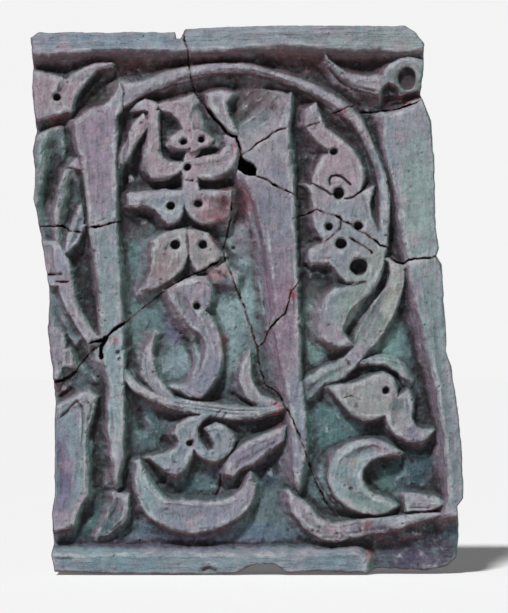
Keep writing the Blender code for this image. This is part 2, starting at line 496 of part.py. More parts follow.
def breaks():
    """The cracks of the mended tile, and the deep hole where a piece between them is missing."""
    cracked("crack_top", [(-48, 203), (-48, 190), (-45.5, 184), (-44.9, 174), (-43.8, 167), (-42.4, 160),
                          (-40.6, 152.6), (-35.4, 145.5), (-29.7, 139.4), (-22.7, 130.4), (-16.3, 122.4),
                          (-10, 119.8), (-7.2, 112), (-5, 101)], 1.8, ends=(1.0, 1.0))
    cracked("crack_scoop", [(-5, 107.4), (5.5, 114.7), (16, 121.8), (27.2, 126.6)], 1.0)
    cracked("crack_across", [(-19, 33), (-25.5, 27.8), (-34, 22.8), (-41.7, 19.6), (-51, 15.5), (-58, 11),
                             (-65, 6), (-76, -3), (-92.8, -17.3), (-107, -27), (-117, -33), (-127.8, -51),
                             (-135, -57), (-150, -60)], 1.6, ends=(0.6, 1.0))
    cracked("gap_left", [(-104, -22), (-109.5, -32), (-110.5, -44)], 5.0, ends=(0.4, 0.2))
    cracked("crack_down", [(-12.5, 82), (-13.4, 70), (-14.4, 60), (-17.5, 48), (-18.9, 39), (-18.6, 31),
                           (-14, 20.6), (-10.6, 10.6), (-4.6, -3), (1.3, -20.8), (5.2, -33.4),
                           (7.4, -49.6), (11.5, -61), (20.4, -66.8), (25, -75.6), (32.4, -89),
                           (37.4, -101.4), (42.4, -116), (49, -134), (57.5, -149.5), (68.5, -163)], 1.3,
            ends=(1.0, 0.3))
    cracked("crack_upright", [(2, 93), (10.5, 89.4), (16, 86), (23.2, 81.8), (34, 77.6)], 1.5,
            ends=(1.0, 0.3))
    cracked("crack_chip", [(36, 16), (31, 8), (28.4, 2), (25.5, -8), (18.8, -14.8), (13.8, -21.6),
                           (10.5, -29.5), (5.2, -33.6)], 1.3, ends=(0.5, 1.0))
    cracked("crack_leaves", [(34, 61.6), (40, 62.6), (48.4, 66.6), (56.2, 64), (65.3, 61), (67.4, 58.4),
                             (73.4, 56.8), (78.8, 51.2), (84.4, 49.8), (89.6, 45.6), (94, 41), (101, 39)],
            1.3)
    cracked("crack_lobe", [(66.6, 60), (65.3, 53.6), (59.7, 47.6), (54.5, 43.2)], 0.9, ends=(1.0, 0.3))
    cracked("crack_brow", [(72.6, 46.6), (77.3, 43.2), (82.6, 41), (88.4, 35.6)], 1.1)
    cracked("crack_right", [(99, 33.4), (105.5, 29.4), (111.4, 27), (115, 30.4), (129.5, 31.6),
                            (141, 34)], 1.7, ends=(0.4, 1.4))
    cracked("crack_edge_leaves", [(-160, 54), (-143, 55), (-137, 56), (-131.2, 51.4), (-120, 50)], 1.1,
            ends=(1.0, 0.4))
    cracked("crack_left", [(-119, 53.4), (-111.4, 54), (-103.6, 56.2), (-94.4, 58.4)], 1.0,
            ends=(0.5, 1.0))
    cracked("crack_ring", [(60, 136.4), (69, 140.6), (76, 142.4)], 0.9)
    missing = curved([(-7.4, 106.4, TIP), (-3.6, 103.7), (2.7, 100), (4.6, 96), (4.8, 91.6, TIP),
                      (-3, 92.2), (-8.8, 96.4, TIP)])
    cuts.append(prism("missing_piece", missing, TILE_THICKNESS + TRIM_MARGIN, MISSING_FLOOR))


def collected(name, tools):
    """Puts the tools in a collection of their own, so that one Boolean can take them all."""
    group = bpy.data.collections.new(name)
    cutters.children.link(group)
    for tool in tools:
        cutters.objects.unlink(tool)
        group.objects.link(tool)
    return group


def boolean(target, operation, group=None, tool=None):
    step = target.modifiers.new(operation.lower(), "BOOLEAN")
    step.operation = operation
    step.solver = "EXACT"
    if group:
        step.operand_type = "COLLECTION"
        step.collection = group
    else:
        step.object = tool
    return step


def clay(target):
    material = bpy.data.materials.new("fired_clay")
    material.use_nodes = True
    shader = material.node_tree.nodes["Principled BSDF"]
    shader.inputs["Base Color"].default_value = CLAY
    shader.inputs["Roughness"].default_value = 0.9
    shader.inputs["Metallic"].default_value = 0.0
    target.data.materials.append(material)


clear_scene()
parts = new_collection("carved_tile")
cutters = new_collection("cutters")
forms = []
cuts = []

sheet = [Vector((x, z)) for x, z in ((-SHEET_WIDTH, -SHEET_HEIGHT), (SHEET_WIDTH, -SHEET_HEIGHT),
                                     (SHEET_WIDTH, SHEET_HEIGHT), (-SHEET_WIDTH, SHEET_HEIGHT))]
tile = prism("carved_tile", sheet, height_of(0.0), 0.0)
cutters.objects.unlink(tile)
parts.objects.link(tile)
tile.hide_render = False
tile.display_type = "TEXTURED"
clay(tile)

bands()
left_uprights()
left_leaves()
ring()
middle_crown()
middle_tiers()
middle_upright()
right_upright()
right_leaves()
bottom_leaves()
plain_strokes()
eyes()
breaks()
edge = prism("tile_edge", tile_edge(), TILE_THICKNESS + TRIM_MARGIN, -TRIM_MARGIN)

boolean(tile, "UNION", group=collected("raised_forms", forms))
boolean(tile, "INTERSECT", tool=edge)
boolean(tile, "DIFFERENCE", group=collected("hollows", cuts))
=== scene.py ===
"""The carved clay tile with its worn surface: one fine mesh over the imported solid, from its own heights.

Places on the tile are given in millimetres from its middle, x to the right and z up. Heights are
millimetres in front of the flat back.
"""

import functools
import math

import bpy
import numpy as np
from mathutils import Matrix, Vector
from mathutils.bvhtree import BVHTree
from mathutils.geometry import delaunay_2d_cdt


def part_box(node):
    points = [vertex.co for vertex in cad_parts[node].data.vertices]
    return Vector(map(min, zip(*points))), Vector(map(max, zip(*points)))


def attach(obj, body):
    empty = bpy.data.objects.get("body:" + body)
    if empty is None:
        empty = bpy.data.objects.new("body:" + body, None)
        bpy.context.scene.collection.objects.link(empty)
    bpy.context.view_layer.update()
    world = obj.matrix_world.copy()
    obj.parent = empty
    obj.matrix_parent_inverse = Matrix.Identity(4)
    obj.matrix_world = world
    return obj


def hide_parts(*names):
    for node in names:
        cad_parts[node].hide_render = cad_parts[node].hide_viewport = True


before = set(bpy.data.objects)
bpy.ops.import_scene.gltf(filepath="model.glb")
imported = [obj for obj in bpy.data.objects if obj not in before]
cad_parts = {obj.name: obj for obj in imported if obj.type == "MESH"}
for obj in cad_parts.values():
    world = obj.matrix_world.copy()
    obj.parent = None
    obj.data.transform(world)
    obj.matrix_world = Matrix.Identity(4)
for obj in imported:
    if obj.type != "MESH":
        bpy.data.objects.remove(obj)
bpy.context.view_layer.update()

MM = 0.001
STEP = 0.6               # spacing of the measured heights
MARGIN = 1.5             # how far their grid reaches past the solid
FACE = 50.0              # height of the plain bands
GROUND = 36.0            # height of the sunk ground
DROP = FACE - GROUND
FOOT = 7.5               # how far up a flank its foot begins to spread
HAIRLINE = 6.5           # depth of a crack 1 mm wide, which doubles with every quarter more
CRACK_FLOOR = 4.0        # how far a wide crack goes below the ground
CRACK_ENDS = 0.12        # share of a crack's length in which it grows by its whole width
CRACK_REACH = 3.2        # how far from a crack the clay is discoloured
MENDED = 3.4             # how far from a crack the solid's own crack is closed
EYE_RIM = 1.2            # width of the worn rim of an eye
LOOSE_PITS = 900         # pits scattered over the tile, besides the listed ones
DEEP = 6.0               # the solid is kept where it lies this far below the ground
THINNEST = 4.0           # the lowest height
EDGE_BAND = 4.0          # width along the outline in which hollows count for nothing
WALL_ROWS = 18           # rows of faces down the sides
LAST_ROW = 0.15          # height of the lowest of them
BACK_STEP = 6.0          # spacing of the points on the back
BACK_MARGIN = 5.0        # how far they stay from the outline
TRIANGLES = 196000       # size of the finished mesh
LATTICE = 256            # size of the table of random values behind the noise

VIEW_HEIGHT = 0.445      # what the picture shows from top to bottom, in metres
VIEW_CENTRE = (0.0029, -0.0036)
LENS = 250.0
SENSOR = 36.0
SUN_STRENGTH = 3.5
SUN_WIDTH = 7.0          # in degrees
SUN_RAYS = (0.34, 1.0, -1.20)
SKY_STRENGTH = 0.07
SKY_COLOUR = (0.93, 0.94, 0.95, 1.0)
BACKDROP = (0.90, 0.90, 0.90, 1.0)
FLOOR_COLOUR = (0.93, 0.93, 0.93, 1.0)
FLOOR_GLOW = 0.10
FLOOR_CORNERS = ((-6, -6), (6, -6), (6, 8), (-6, 8))

# The mended cracks: width, the share of the width left at the two ends, and the points of the route
CRACKS = [
    (0.8, 1.8, 1.2, (-48, 203), (-48, 190), (-45.5, 184), (-44.9, 174), (-43.8, 167), (-42.4, 160),
     (-40.6, 152.6), (-35.4, 145.5), (-29.7, 139.4)),
    (1.9, 0.6, 1.0, (-31, 140.5), (-26.5, 134.5), (-22.7, 130.4), (-16.3, 122.4), (-10, 119.8),
     (-7.2, 112), (-5, 101)), (0.9, 1.0, 0.7, (-5, 107.4), (5.5, 114.7), (16, 121.8), (27.2, 126.6)),
    (1.0, 1.0, 0.6, (-19, 33), (-25.5, 27.8), (-34, 22.8), (-41.7, 19.6), (-51, 15.5), (-58, 11)),
    (0.7, 1.0, 1.0, (-58, 11), (-65, 6), (-76, -3), (-84, -10), (-92.8, -16.4)),
    (1.9, 0.4, 0.3, (-91, -14), (-94, -17.6), (-98, -20), (-103, -25), (-107, -27.6), (-117, -31)),
    (0.8, 1.0, 1.0, (-113, -34), (-117, -38), (-122, -44), (-127.8, -51)),
    (2.2, 0.3, 1.0, (-126, -50), (-131, -54.6), (-137, -57.6), (-150, -58)),
    (3.4, 1.0, 0.15, (-105.5, -26), (-108.5, -33), (-109, -43)),
    (0.85, 1.2, 0.5, (-12.5, 82), (-13.4, 70), (-14.4, 60), (-17.5, 48), (-18.9, 39), (-18.6, 31),
     (-14, 20.6), (-10.6, 10.6), (-4.6, -3), (1.3, -20.8), (5.2, -33.4), (7.4, -49.6), (11.5, -61),
     (20.4, -66.8), (25, -75.6), (32.4, -89), (37.4, -101.4), (42.4, -116), (49, -134), (57.5, -149.5),
     (68.5, -163)), (1.0, 1.0, 0.3, (2, 93), (10.5, 89.4), (16, 86), (23.2, 81.8), (34, 77.6)),
    (0.9, 0.6, 1.0, (36, 16), (31, 8), (28.4, 2), (25.5, -8), (18.8, -14.8), (13.8, -21.6),
     (10.5, -29.5), (5.2, -33.6)),
    (0.9, 0.6, 0.6, (34, 61.6), (40, 62.6), (48.4, 66.6), (56.2, 64), (65.3, 61), (67.4, 58.4),
     (73.4, 56.8), (78.8, 51.2), (84.4, 49.8), (89.6, 45.6), (94, 41), (101, 39)),
    (0.7, 1.0, 0.3, (66.6, 60), (65.3, 53.6), (59.7, 47.6), (54.5, 43.2)),
    (0.9, 0.5, 1.2, (72.6, 46.6), (77.3, 43.2), (82.6, 41), (88.4, 35.6)),
    (1.2, 0.6, 1.4, (99, 33.4), (105.5, 29.4), (111.4, 27), (115, 30.4), (129.5, 31.6), (141, 34)),
    (1.1, 1.0, 0.4, (-160, 54), (-143, 55), (-137, 56), (-131.2, 51.4), (-120, 50)),
    (1.0, 0.5, 0.8, (-119, 53.4), (-111.4, 54), (-103.6, 56.2), (-94.4, 58.4)),
    (1.0, 0.5, 0.5, (60, 136.4), (69, 140.6), (76, 142.4)),
    (1.2, 0.4, 0.6, (80, 138), (90, 138.4), (100, 138.4), (105.5, 139.4), (112.6, 142), (119.6, 144.4),
     (125, 146.8)), (0.9, 0.7, 0.3, (-147, 20), (-136, 20)), (0.8, 0.5, 0.4, (-141, 14.4), (-132, 14.4)),
    (0.7, 0.6, 0.5, (40.6, 126.7), (45, 128.6), (51.9, 130.6)),
    (0.7, 0.6, 0.5, (-47, 88.4), (-44, 87.6), (-41, 88))]

# Incised lines: width, depth and route
LINES = [
    (1.2, 3.2, (57.9, 84.6), (57.6, 88), (59.3, 91.3), (63.2, 92), (66.7, 90.6), (70.3, 87.4), (73, 85)),
    (1.1, 2.8, (45, 86), (50, 84), (54, 81), (58.5, 77.8), (62, 78)),
    (1.1, 2.8, (69, 75), (74, 75.2), (79, 78.6), (83, 82)), (0.9, 1.0, (76, 21), (79, 18.6), (83, 19.6)),
    (0.8, 0.9, (-55, -73.5), (-35, -76.4), (-15, -78.6), (6, -79)),
    (0.8, 0.8, (-48, -77.3), (-30, -79.8), (-12, -81.6), (2, -81.8)),
    (0.9, 1.3, (-22, -79.6), (-25.5, -84.4)), (0.9, 1.3, (-17.5, -80.6), (-20, -85)),
    (0.9, 2.0, (-92, 151), (-92.4, 144), (-91.6, 139)),
    (0.8, 0.8, (-36, 164.4), (-25, 165.4), (5, 165.8), (20, 161.8)),
    (0.9, 1.0, (-13, 165), (-10, 160), (-13, 152)),
    (1.2, 1.5, (-117.6, -73), (-115.6, -76), (-114.6, -79)),
    (0.9, 1.3, (68, -70.4), (73, -68.6), (79.4, -71.4)),
    (1.0, 2.0, (-45.4, 55), (-45.8, 49), (-45, 42), (-44.6, 36)),
    (0.8, 0.9, (-98, 60), (-98.4, 52), (-97.4, 45)), (0.8, 0.9, (10, 96), (14, 84), (15, 70)),
    (0.9, 1.0, (43, -113), (48, -128), (56, -142), (63, -149)),
    (1.4, 2.2, (-22, -126), (-21.4, -133), (-23, -138), (-25, -141)),
    (0.8, 0.9, (-50, -63.4), (-45, -67.6), (-41, -70)), (0.7, 0.7, (-47, -60), (-41, -64.6), (-36, -67)),
    (0.7, 0.6, (-33, -52), (-36, -58), (-41, -62)), (0.9, 0.9, (-30, -84.6), (-34.6, -89), (-38, -95)),
    (0.9, 0.9, (98, 138.6), (106, 139.8), (112, 142)), (0.8, 0.8, (-116, 56.2), (-110, 58), (-104, 60.6))]

# Modelling of the faces, flanks and ground: width, the height added or, below 0, scooped out, and route
MODELLING = [
    # The leaves at the left edge, dished between pale rims
    (9, -2.6, (-133, 163), (-136, 156), (-140, 149), (-139, 140)),
    (9, -3.6, (-127, 145), (-118, 157), (-107, 168)), (9, -0.9, (-154, 158), (-147, 153), (-146, 142)),
    (4, 0.9, (-131, 160), (-121, 168), (-108, 172)),
    (17, -4.4, (-145, 119), (-143, 102), (-146, 85), (-149, 68)),
    (4, 1.2, (-137, 122), (-135.6, 108), (-137.6, 98)),
    (12, -4.4, (-130, 92), (-130, 76), (-133, 61), (-137, 46)),
    (4, 1.0, (-137.4, 88), (-140, 70), (-139.4, 56)), (7, -2.6, (-121.6, 62), (-125, 50), (-129.4, 41)),
    (9, -2.4, (-147.6, 42), (-146, 30), (-143, 16)), (6, -2.0, (-126, 6), (-121, -8), (-113.6, -20)),
    (5, 0.9, (-137, 30), (-134, 12), (-127, -6), (-117, -24)),
    (9, -1.6, (-143, -2), (-140, -14), (-134, -24)), (5, -1.6, (-133, -36), (-132, -46)),
    (9, 1.8, (-126, -44), (-118, -54), (-112, -58)), (8, -2.6, (-129, -62), (-139, -72)),
    # The broad stroke below them: its curled top and its hollow
    (5, 1.2, (-141, -77), (-129, -71), (-118, -65.6)), (7, -1.6, (-138, -84), (-127, -78), (-120, -76)),
    (19, -2.6, (-140, -100), (-138.4, -122), (-134, -146)),
    (5, -1.8, (-117.6, -84), (-117, -112), (-118, -139)),
    (6, 1.0, (-123, -82), (-122.6, -110), (-124, -138)),
    (6, -2.4, (-112.4, -71), (-115, -80), (-118, -88)),
    (2.6, -1.8, (-141, -88), (-133, -80), (-126, -72), (-121.6, -77), (-121, -90), (-122, -112)),
    (6, -1.6, (-139, -104), (-137, -126), (-139, -146)),
    (4, 0.9, (-146, -92), (-146, -120), (-145, -150)), (7, 0.9, (-129, -96), (-128, -120), (-131, -146)),
    (8, -2.6, (-97, -141), (-98, -151), (-103, -161)), (3, 1.0, (-90.4, -146), (-93, -158), (-101, -165)),
    # The first upright: a plane along its left side, and the hollow at its right
    (6, -1.1, (-119, 122), (-116.4, 98), (-114.6, 70), (-113, 44), (-109.6, 10)),
    (4, -1.4, (-104, -50), (-101.6, -80), (-100.6, -110)),
    (12, -0.8, (-106, 132), (-106, 90), (-104, 66)),
    (7, 0.8, (-96, -34), (-97.4, -60), (-96.6, -90), (-96.4, -124)),
    (5, -3.0, (-90, 128), (-90.6, 96), (-89.6, 66)), (6, -3.4, (-122, 92), (-119.4, 66), (-116.6, 40)),
    (8, -2.6, (-118, 30), (-117, 6), (-113, -14)),
    # The ring: a thin rim along its outer edge, falling off inwards
    (7, -3.6, (-84, 148), (-70, 153.6), (-46, 161.6), (-20, 166), (0, 165.6), (20, 160.6), (41, 152),
     (60, 140.6), (73, 129), (83.4, 113), (90.4, 94), (93.4, 74), (93.6, 52)),
    (4, 0.7, (-84, 156.4), (-52, 166.2), (-28, 170.2), (0, 170), (20, 164.6), (42, 157), (62, 146),
     (76, 134.6), (88, 115), (95.6, 97), (99.6, 77), (99.6, 58), (96.6, 36)),
    (9, -1.0, (57, -24), (57, -10), (64, 2), (76, 8)), (7, -2.4, (50.6, -28), (50.4, -12), (55, 2)),
    (4, 0.8, (71, -28), (69, -16), (74, -6)), (5, -1.2, (88, 8), (93, 20), (95, 34)),
    (4, 1.0, (-88, -53), (-80, -61), (-66, -69), (-50, -73)),
    (4, -1.6, (-84, -66), (-66, -74.6), (-40, -81)), (3, 0.8, (-30, -75.6), (-10, -77.4), (12, -77.6)),
    (4, -1.0, (-10, -84), (10, -83.6), (22, -79)),
    (12, 5.5, (68, -22), (75, -9), (83, 3), (91, 14), (97, 25)),
    # The strand beside it, creased along its middle
    (9, -2.6, (101, 26), (97, 8), (88.6, -10), (79, -26), (70, -39)),
    (6, 0.9, (108, 20), (103, 0), (94, -20), (84, -33)), (7, -1.4, (64, -50), (52, -56), (42, -66)),
    (5, 0.9, (72, -44), (60, -50), (48, -57)), (3, -1.4, (70, -42), (73, -48)),
    (2.4, -1.1, (77, -38), (81, -43)), (2.4, -1.0, (64, -46), (66, -52)),
    # The crown of leaves in the ring
    (5, -2.6, (-64.6, 137), (-64.4, 120), (-63, 106)), (5, 0.8, (-71, 134), (-71.4, 116), (-72.6, 102)),
    (4, -1.4, (-75.6, 118), (-77, 102), (-74, 92)),
    (9, -1.0, (-62, 96), (-50, 99), (-34, 98), (-20, 101), (-12, 110)),
    (4, 0.8, (-66, 91.6), (-56, 92.6), (-48, 96)),
    (4, 0.9, (-38, 92), (-28, 90.6), (-16, 96), (-10, 106)),
    (15, -3.4, (-38, 145), (-30, 132), (-24.6, 119)), (8, -3.6, (-37, 109.6), (-24, 110.6)),
    (6, 1.2, (-46, 130), (-42, 141), (-36, 149)), (5, 1.0, (-75, 131), (-84, 119), (-92, 103)),
    (4, -1.6, (-72, 127), (-82, 113), (-89, 99)), (6, -1.4, (-27, 149), (-20.6, 140), (-14.6, 127)),
    (3, 0.7, (-54, 116), (-48, 122)), (12, -3.6, (-80, 108), (-84, 96), (-80, 88)),
    (7, -2.6, (-70, 84), (-52, 85)), (8, -3.0, (-36, 85.6), (-16, 86.6)),
    (8, -3.6, (-88, 66), (-78, 64), (-71, 60)), (16, 2.2, (-57, 6), (-52, -10), (-46, -24)),
    (14, 1.2, (-84, 30), (-78, 16), (-80, 0)),
    # The tiers below it
    (9, -1.5, (-54, 50), (-58, 40), (-63, 29), (-68, 20)), (8, -1.3, (-36, 50), (-32, 42), (-27, 35)),
    (3, 0.9, (-64, 46), (-68, 36), (-72, 22), (-75, 12)), (3, 0.9, (-50, 56), (-40, 56), (-30, 50)),
    (7, -1.2, (-66, 70), (-60, 74), (-52, 72)), (8, -1.2, (-34, 76), (-28, 74), (-22, 68)),
    (5, 1.2, (-46, 12), (-38, 15), (-30, 14), (-25, 8)), (5, -1.2, (-48, 4), (-44, -4), (-38, -12)),
    (6, -1.8, (-28, 2), (-27, -6), (-30, -14)), (5, 0.7, (-86, 74), (-72, 75), (-64, 76)),
    (4, -1.0, (-84, 71), (-74, 70.6)), (10, -1.4, (-30, 62), (-22, 66), (-18, 74)),
    (7, -1.2, (-66, 44), (-67, 32), (-70, 18)), (3, -1.4, (-45, 46), (-44.6, 38)),
    (9, 0.9, (-60, 24), (-54, 34)), (8, 0.7, (-36, 30), (-37, 40)), (6, -1.6, (-27, 46), (-23, 38)),
    (5, -1.6, (-24, 22), (-16, 16)), (7, -1.6, (-53, 8), (-46, -4), (-39, -16)),
    (6, 1.0, (-44, 10), (-38, -10), (-30, -24), (-25, -40), (-30, -56)),
    (6, -2.0, (-38, -28), (-35, -42), (-39, -54)), (7, 0.8, (-34, 12), (-36, 4)),
    (8, 0.6, (-47, -62), (-39, -66)), (4, -1.6, (-76.6, -34), (-77, -48), (-74, -58)),
    (3, 0.8, (-71, -28), (-72.6, -44), (-69, -56)), (7, -1.6, (3, -48), (3.6, -58), (9, -66)),
    (3, 0.9, (-4, -42), (-5.6, -54), (-2, -65)), (7, -2.0, (-49, -28), (-44, -38), (-42, -50)),
    (6, -2.4, (-15, -66), (-6, -72), (6, -76)),
    # The scooped head of the middle upright, its streaks, and the wide plane down its left side
    (20, -2.2, (20, 144), (12, 131), (3, 119)), (4, 1.1, (-1, 121), (14, 132), (24, 144), (28, 150)),
    (5, -1.3, (-8, 130), (6, 143), (14, 151)), (4, -0.9, (-12, 138), (-2, 149)),
    (3, 0.7, (-10, 126), (8, 138), (18, 149)), (4, -1.4, (27, 112), (30, 106), (29.6, 96)),
    (7, -1.6, (2, 70), (9, 40), (13.6, 8), (17, -22), (24, -54)), (5, 0.8, (12, 60), (17, 20), (22, -20)),
    (3, -0.8, (-2, 60), (4, 34), (9, 4), (12, -16)), (4, -0.6, (30, 60), (31, 20), (33, -6)),
    (3, -0.9, (6, 74), (11, 44), (16, 6), (20, -30)), (3.4, 0.7, (-4, 84), (2, 50), (6, 20), (10, -10)),
    (3, -0.5, (22, 60), (24, 20), (26, -30)), (3, -0.5, (-110, 128), (-110, 100), (-107, 60)),
    (3, -0.6, (-102, 40), (-101, 10), (-99, -10)), (5, 0.8, (31, -84), (34, -104), (37, -122)),
    (6, -1.6, (30, 8), (33, 0), (33, -10)), (8, -2.0, (36, 112), (38, 96), (36, 84)),
    (8, -2.2, (38, 76), (40, 66)), (9, -3.4, (37, 26), (46, 24), (58, 22)),
    # The leaves at the right
    (6, 1.0, (45.6, 140), (45, 128), (50, 120)), (5, -1.6, (50, 136), (47, 124), (54, 114)),
    (5, -1.8, (50, 108), (46.6, 96), (48, 86)), (6, -0.9, (66, 112), (76, 102), (79.6, 88)),
    (14, 0.9, (60, 100), (66, 96), (70, 98)), (6, 0.8, (62, 88), (68, 87)),
    (5, -1.8, (46, 78), (48, 70), (46.4, 60)), (4, -1.4, (82, 78), (85, 68), (87, 58)),
    (10, 0.8, (70, 68), (78, 66)), (7, 0.8, (52, 58), (57, 48)), (5, 0.9, (44, 35), (50, 37), (58, 40)),
    (5, -1.4, (48, 30), (58, 30.6), (66, 24)), (5, -1.4, (87, 30), (84, 18)),
    (5, 0.8, (74, 35), (82, 35.6)), (3.4, -2.6, (66, 10), (76, 11.6), (84, 15)),
    (8, -2.4, (91.6, 120), (86, 128), (88, 136)), (6, -3.0, (97, 60), (103, 52), (104, 40)),
    # The corner at the top right
    (8, -3.4, (57, 172), (66, 160.6), (78, 154.6), (93, 151.4)),
    (3.4, 1.0, (56, 177), (62, 171), (70, 165), (84, 162.6)),
    (5, 1.1, (97, 163), (102, 171), (111, 176), (121, 174)), (6, -2.6, (96, 152), (101, 156), (107, 153)),
    (6, -1.0, (76, 158.6), (92, 157.4)), (7, -1.6, (98, 147), (112, 149), (124, 152)),
    # The right upright: its left plane and the slow hollow of its face
    (5, -1.2, (103, 108), (106.6, 80), (110, 57)), (16, -0.9, (112, 120), (118, 90), (121, 60)),
    (5, 0.8, (122, 22), (126, 0), (131, -26), (136, -54), (140, -80), (144, -112)),
    (8, -1.1, (131, 10), (136, -30), (142, -70), (147, -112)),
    (8, -1.8, (116, -20), (124, -56), (130, -84)),
    # The lower leaf and the small arch over it
    (16, -1.6, (74, -66), (88, -64), (98, -74)), (4, 1.0, (66, -66), (72, -77), (84, -83.4), (94, -82.6)),
    (4, 1.0, (97, -55), (103.6, -59), (105.4, -67)), (5, 1.1, (112, -71), (114.6, -84), (116, -94)),
    (8, -1.4, (104, -76), (106, -90)), (5, 0.8, (122, -96), (112, -97)),
    (3.4, 1.2, (79, -43), (97, -41), (108, -44), (114, -52)),
    (7, -4.6, (72, -53), (84, -48.6), (97, -48), (106, -54), (110, -64)),
    (9, -2.4, (60, -68), (68, -82), (84, -91), (98, -90)),
    (9, -2.2, (110, -106), (124, -108), (134, -104)), (9, -2.0, (122, -70), (124, -82)),
    # The moon and the strokes beside it: rims and hollows
    (5, 1.3, (105, -107), (90, -103), (75, -106), (63.6, -115), (61, -128), (66, -140)),
    (11, -2.0, (98, -108), (84, -108), (74, -115), (70.6, -128), (76, -141), (92, -148)),
    (4, 1.0, (92, -112.6), (84, -117), (80, -127), (83.6, -136.6)),
    (5, -2.2, (56, -114), (54.6, -128), (60, -142), (72, -151)), (4, 1.2, (116, -145), (138, -146.6)),
    (3, -1.0, (115, -150), (132, -150)), (9, 1.6, (86, -124), (90, -132), (100, -138)),
    (12, -2.6, (94, -118), (108, -116), (122, -118)),
    (4, 0.9, (32, -146), (41, -162), (56, -169), (82, -165), (112, -159.6), (136, -155)),
    (4, -1.4, (38, -145), (46, -156), (60, -164), (84, -160.6)),
    (4, -1.4, (34, -158), (50, -172), (76, -172)), (9, -0.8, (48, -168), (66, -169)),
    (4, -1.0, (76, -154), (79, -162), (81, -168)),
    # The boat and the bar
    (4, 1.2, (-78, -122), (-73, -137), (-62, -145.6), (-40, -148), (-16, -146)),
    (13, -1.8, (-77, -140), (-66, -153), (-45, -158), (-25, -155), (-8, -146)),
    (4, 0.8, (-70, -158), (-50, -165.4), (-25, -163)), (6, -2.2, (-82.6, -124), (-81, -142), (-72, -156)),
    (5, -1.4, (1, -132), (0, -144), (-8, -154)), (4, 1.2, (-14, -112), (4, -103), (22, -94)),
    (7, -1.6, (-12, -120), (4, -112), (20, -102)), (5, 0.8, (-12, -121), (-15, -117)),
    (8, -3.0, (-60, -124), (-66, -134)), (10, -3.2, (4, -122), (14, -118), (20, -108)),
    # The trefoil and the scroll
    (11, -1.8, (-49, -92), (-47, -104), (-55, -116)), (4, 1.0, (-52, -90), (-44, -86.6), (-36, -85)),
    (4, 0.9, (-66, -115), (-56, -122), (-48, -119)), (4, 0.8, (-70, -113), (-58, -113)),
    (3.6, 1.0, (-28, -90.4), (-19, -93), (-14.4, -101), (-18, -110), (-27, -113.6), (-36, -110)),
    (6, -1.4, (-24, -96), (-21, -103)), (10, -1.8, (-58, -106), (-66, -100)),
    (12, -3.0, (-82, -78), (-78, -96)), (9, -2.6, (-70, -80), (-54, -86)),
    (8, -3.0, (-12, -88), (8, -88), (22, -84)),
    # Worn hollows in the bands
    (9, -0.6, (-150, 190), (-100, 192), (-56, 190)), (10, -0.5, (-30, 190), (20, 192), (70, 191)),
    (8, -2.2, (-142, -186), (-134, -188), (-128, -186)), (6, -3.0, (-36, -196), (-30, -194), (-24, -197)),
    (12, -1.0, (84, 192), (112, 196)), (6, -0.6, (-120, -186), (-60, -188), (0, -186), (60, -188)),
    (12, -1.6, (100, -182), (120, -176), (140, -184)), (9, 1.6, (106, -168), (128, -170)),
    (9, 1.4, (134, -160), (144, -162))]

# Drilled eyes: x, z, half width, half height and depth
EYES = [
    (-140.3, 148.6, 2.8, 2.8, 6.5), (-48.4, 116, 2.6, 2.6, 6), (-35.4, 117.6, 2.6, 2.6, 6),
    (-45.6, 97.7, 2.9, 2.8, 7), (-57.4, 69.7, 3.3, 3.3, 6.5), (-37.8, 70.9, 2.9, 2.9, 6),
    (-54.3, 41.2, 3.6, 3.6, 7), (-34.2, 40.9, 3.3, 3.3, 7), (-38.8, -3.5, 2.7, 2.7, 6),
    (-43.8, -103, 2.4, 2.4, 6), (60.8, 108.9, 2.8, 2.7, 5), (57.2, 54.3, 2.8, 2.8, 6),
    (78.7, 55, 3.4, 3.4, 6), (98.5, -65, 2.7, 2.7, 5.5), (64.6, 78.6, 3.9, 4.6, 7),
    (66.2, 42.0, 4.4, 4.0, 7), (79.0, 25.0, 6.3, 6.3, 8.5), (114.3, 162.0, 6.7, 9.0, 5.5)]

# Pits: x, z, radius and depth
PITS = [
    (-96, -37, 1.6, 2.2), (-95, -42, 1.2, 1.6), (36, -17.5, 1.3, 1.6), (73, -136, 1.3, 1.5),
    (69, -134, 1.0, 1.2), (-12, -179, 1.4, 1.4), (-97, 5, 1.1, 1.2), (-12, 39, 1.4, 1.8),
    (24, 77, 0.7, 0.9), (26.5, 75.4, 0.7, 0.9), (28, 78, 0.7, 0.9), (30, 75.6, 0.6, 0.8),
    (25, 79.2, 0.6, 0.8), (28.6, 74, 0.6, 0.8)]

# Parts of the ground so wide and open that they stay light: x, z, half width and half height
OPEN = [
    (48, -16, 11, 30), (-18, -14, 15, 34), (-54, -50, 16, 16), (-80, 6, 12, 40), (100, -26, 10, 22),
    (-20, -165, 60, 10), (84, 0, 8, 24), (60, -90, 22, 14)]

# Where the clay shows a fresh dusty red break: x, z, half width and half height
RED = [
    (-7, 71, 6, 13), (-136, -64, 7, 7), (-18, -30, 4, 8), (20, -83, 5, 17), (31, 7, 4, 8),
    (88, -183, 4, 7), (-22, -135, 3, 6), (106, 146, 20, 5), (-11, 112, 3, 7), (-139, 131, 8, 5),
    (-26, 44, 5, 6), (-25, 20, 9, 5), (67, 138, 6, 3), (84, -164, 5, 8), (-99, -28, 4, 4),
    (-24, 60, 6, 4)]

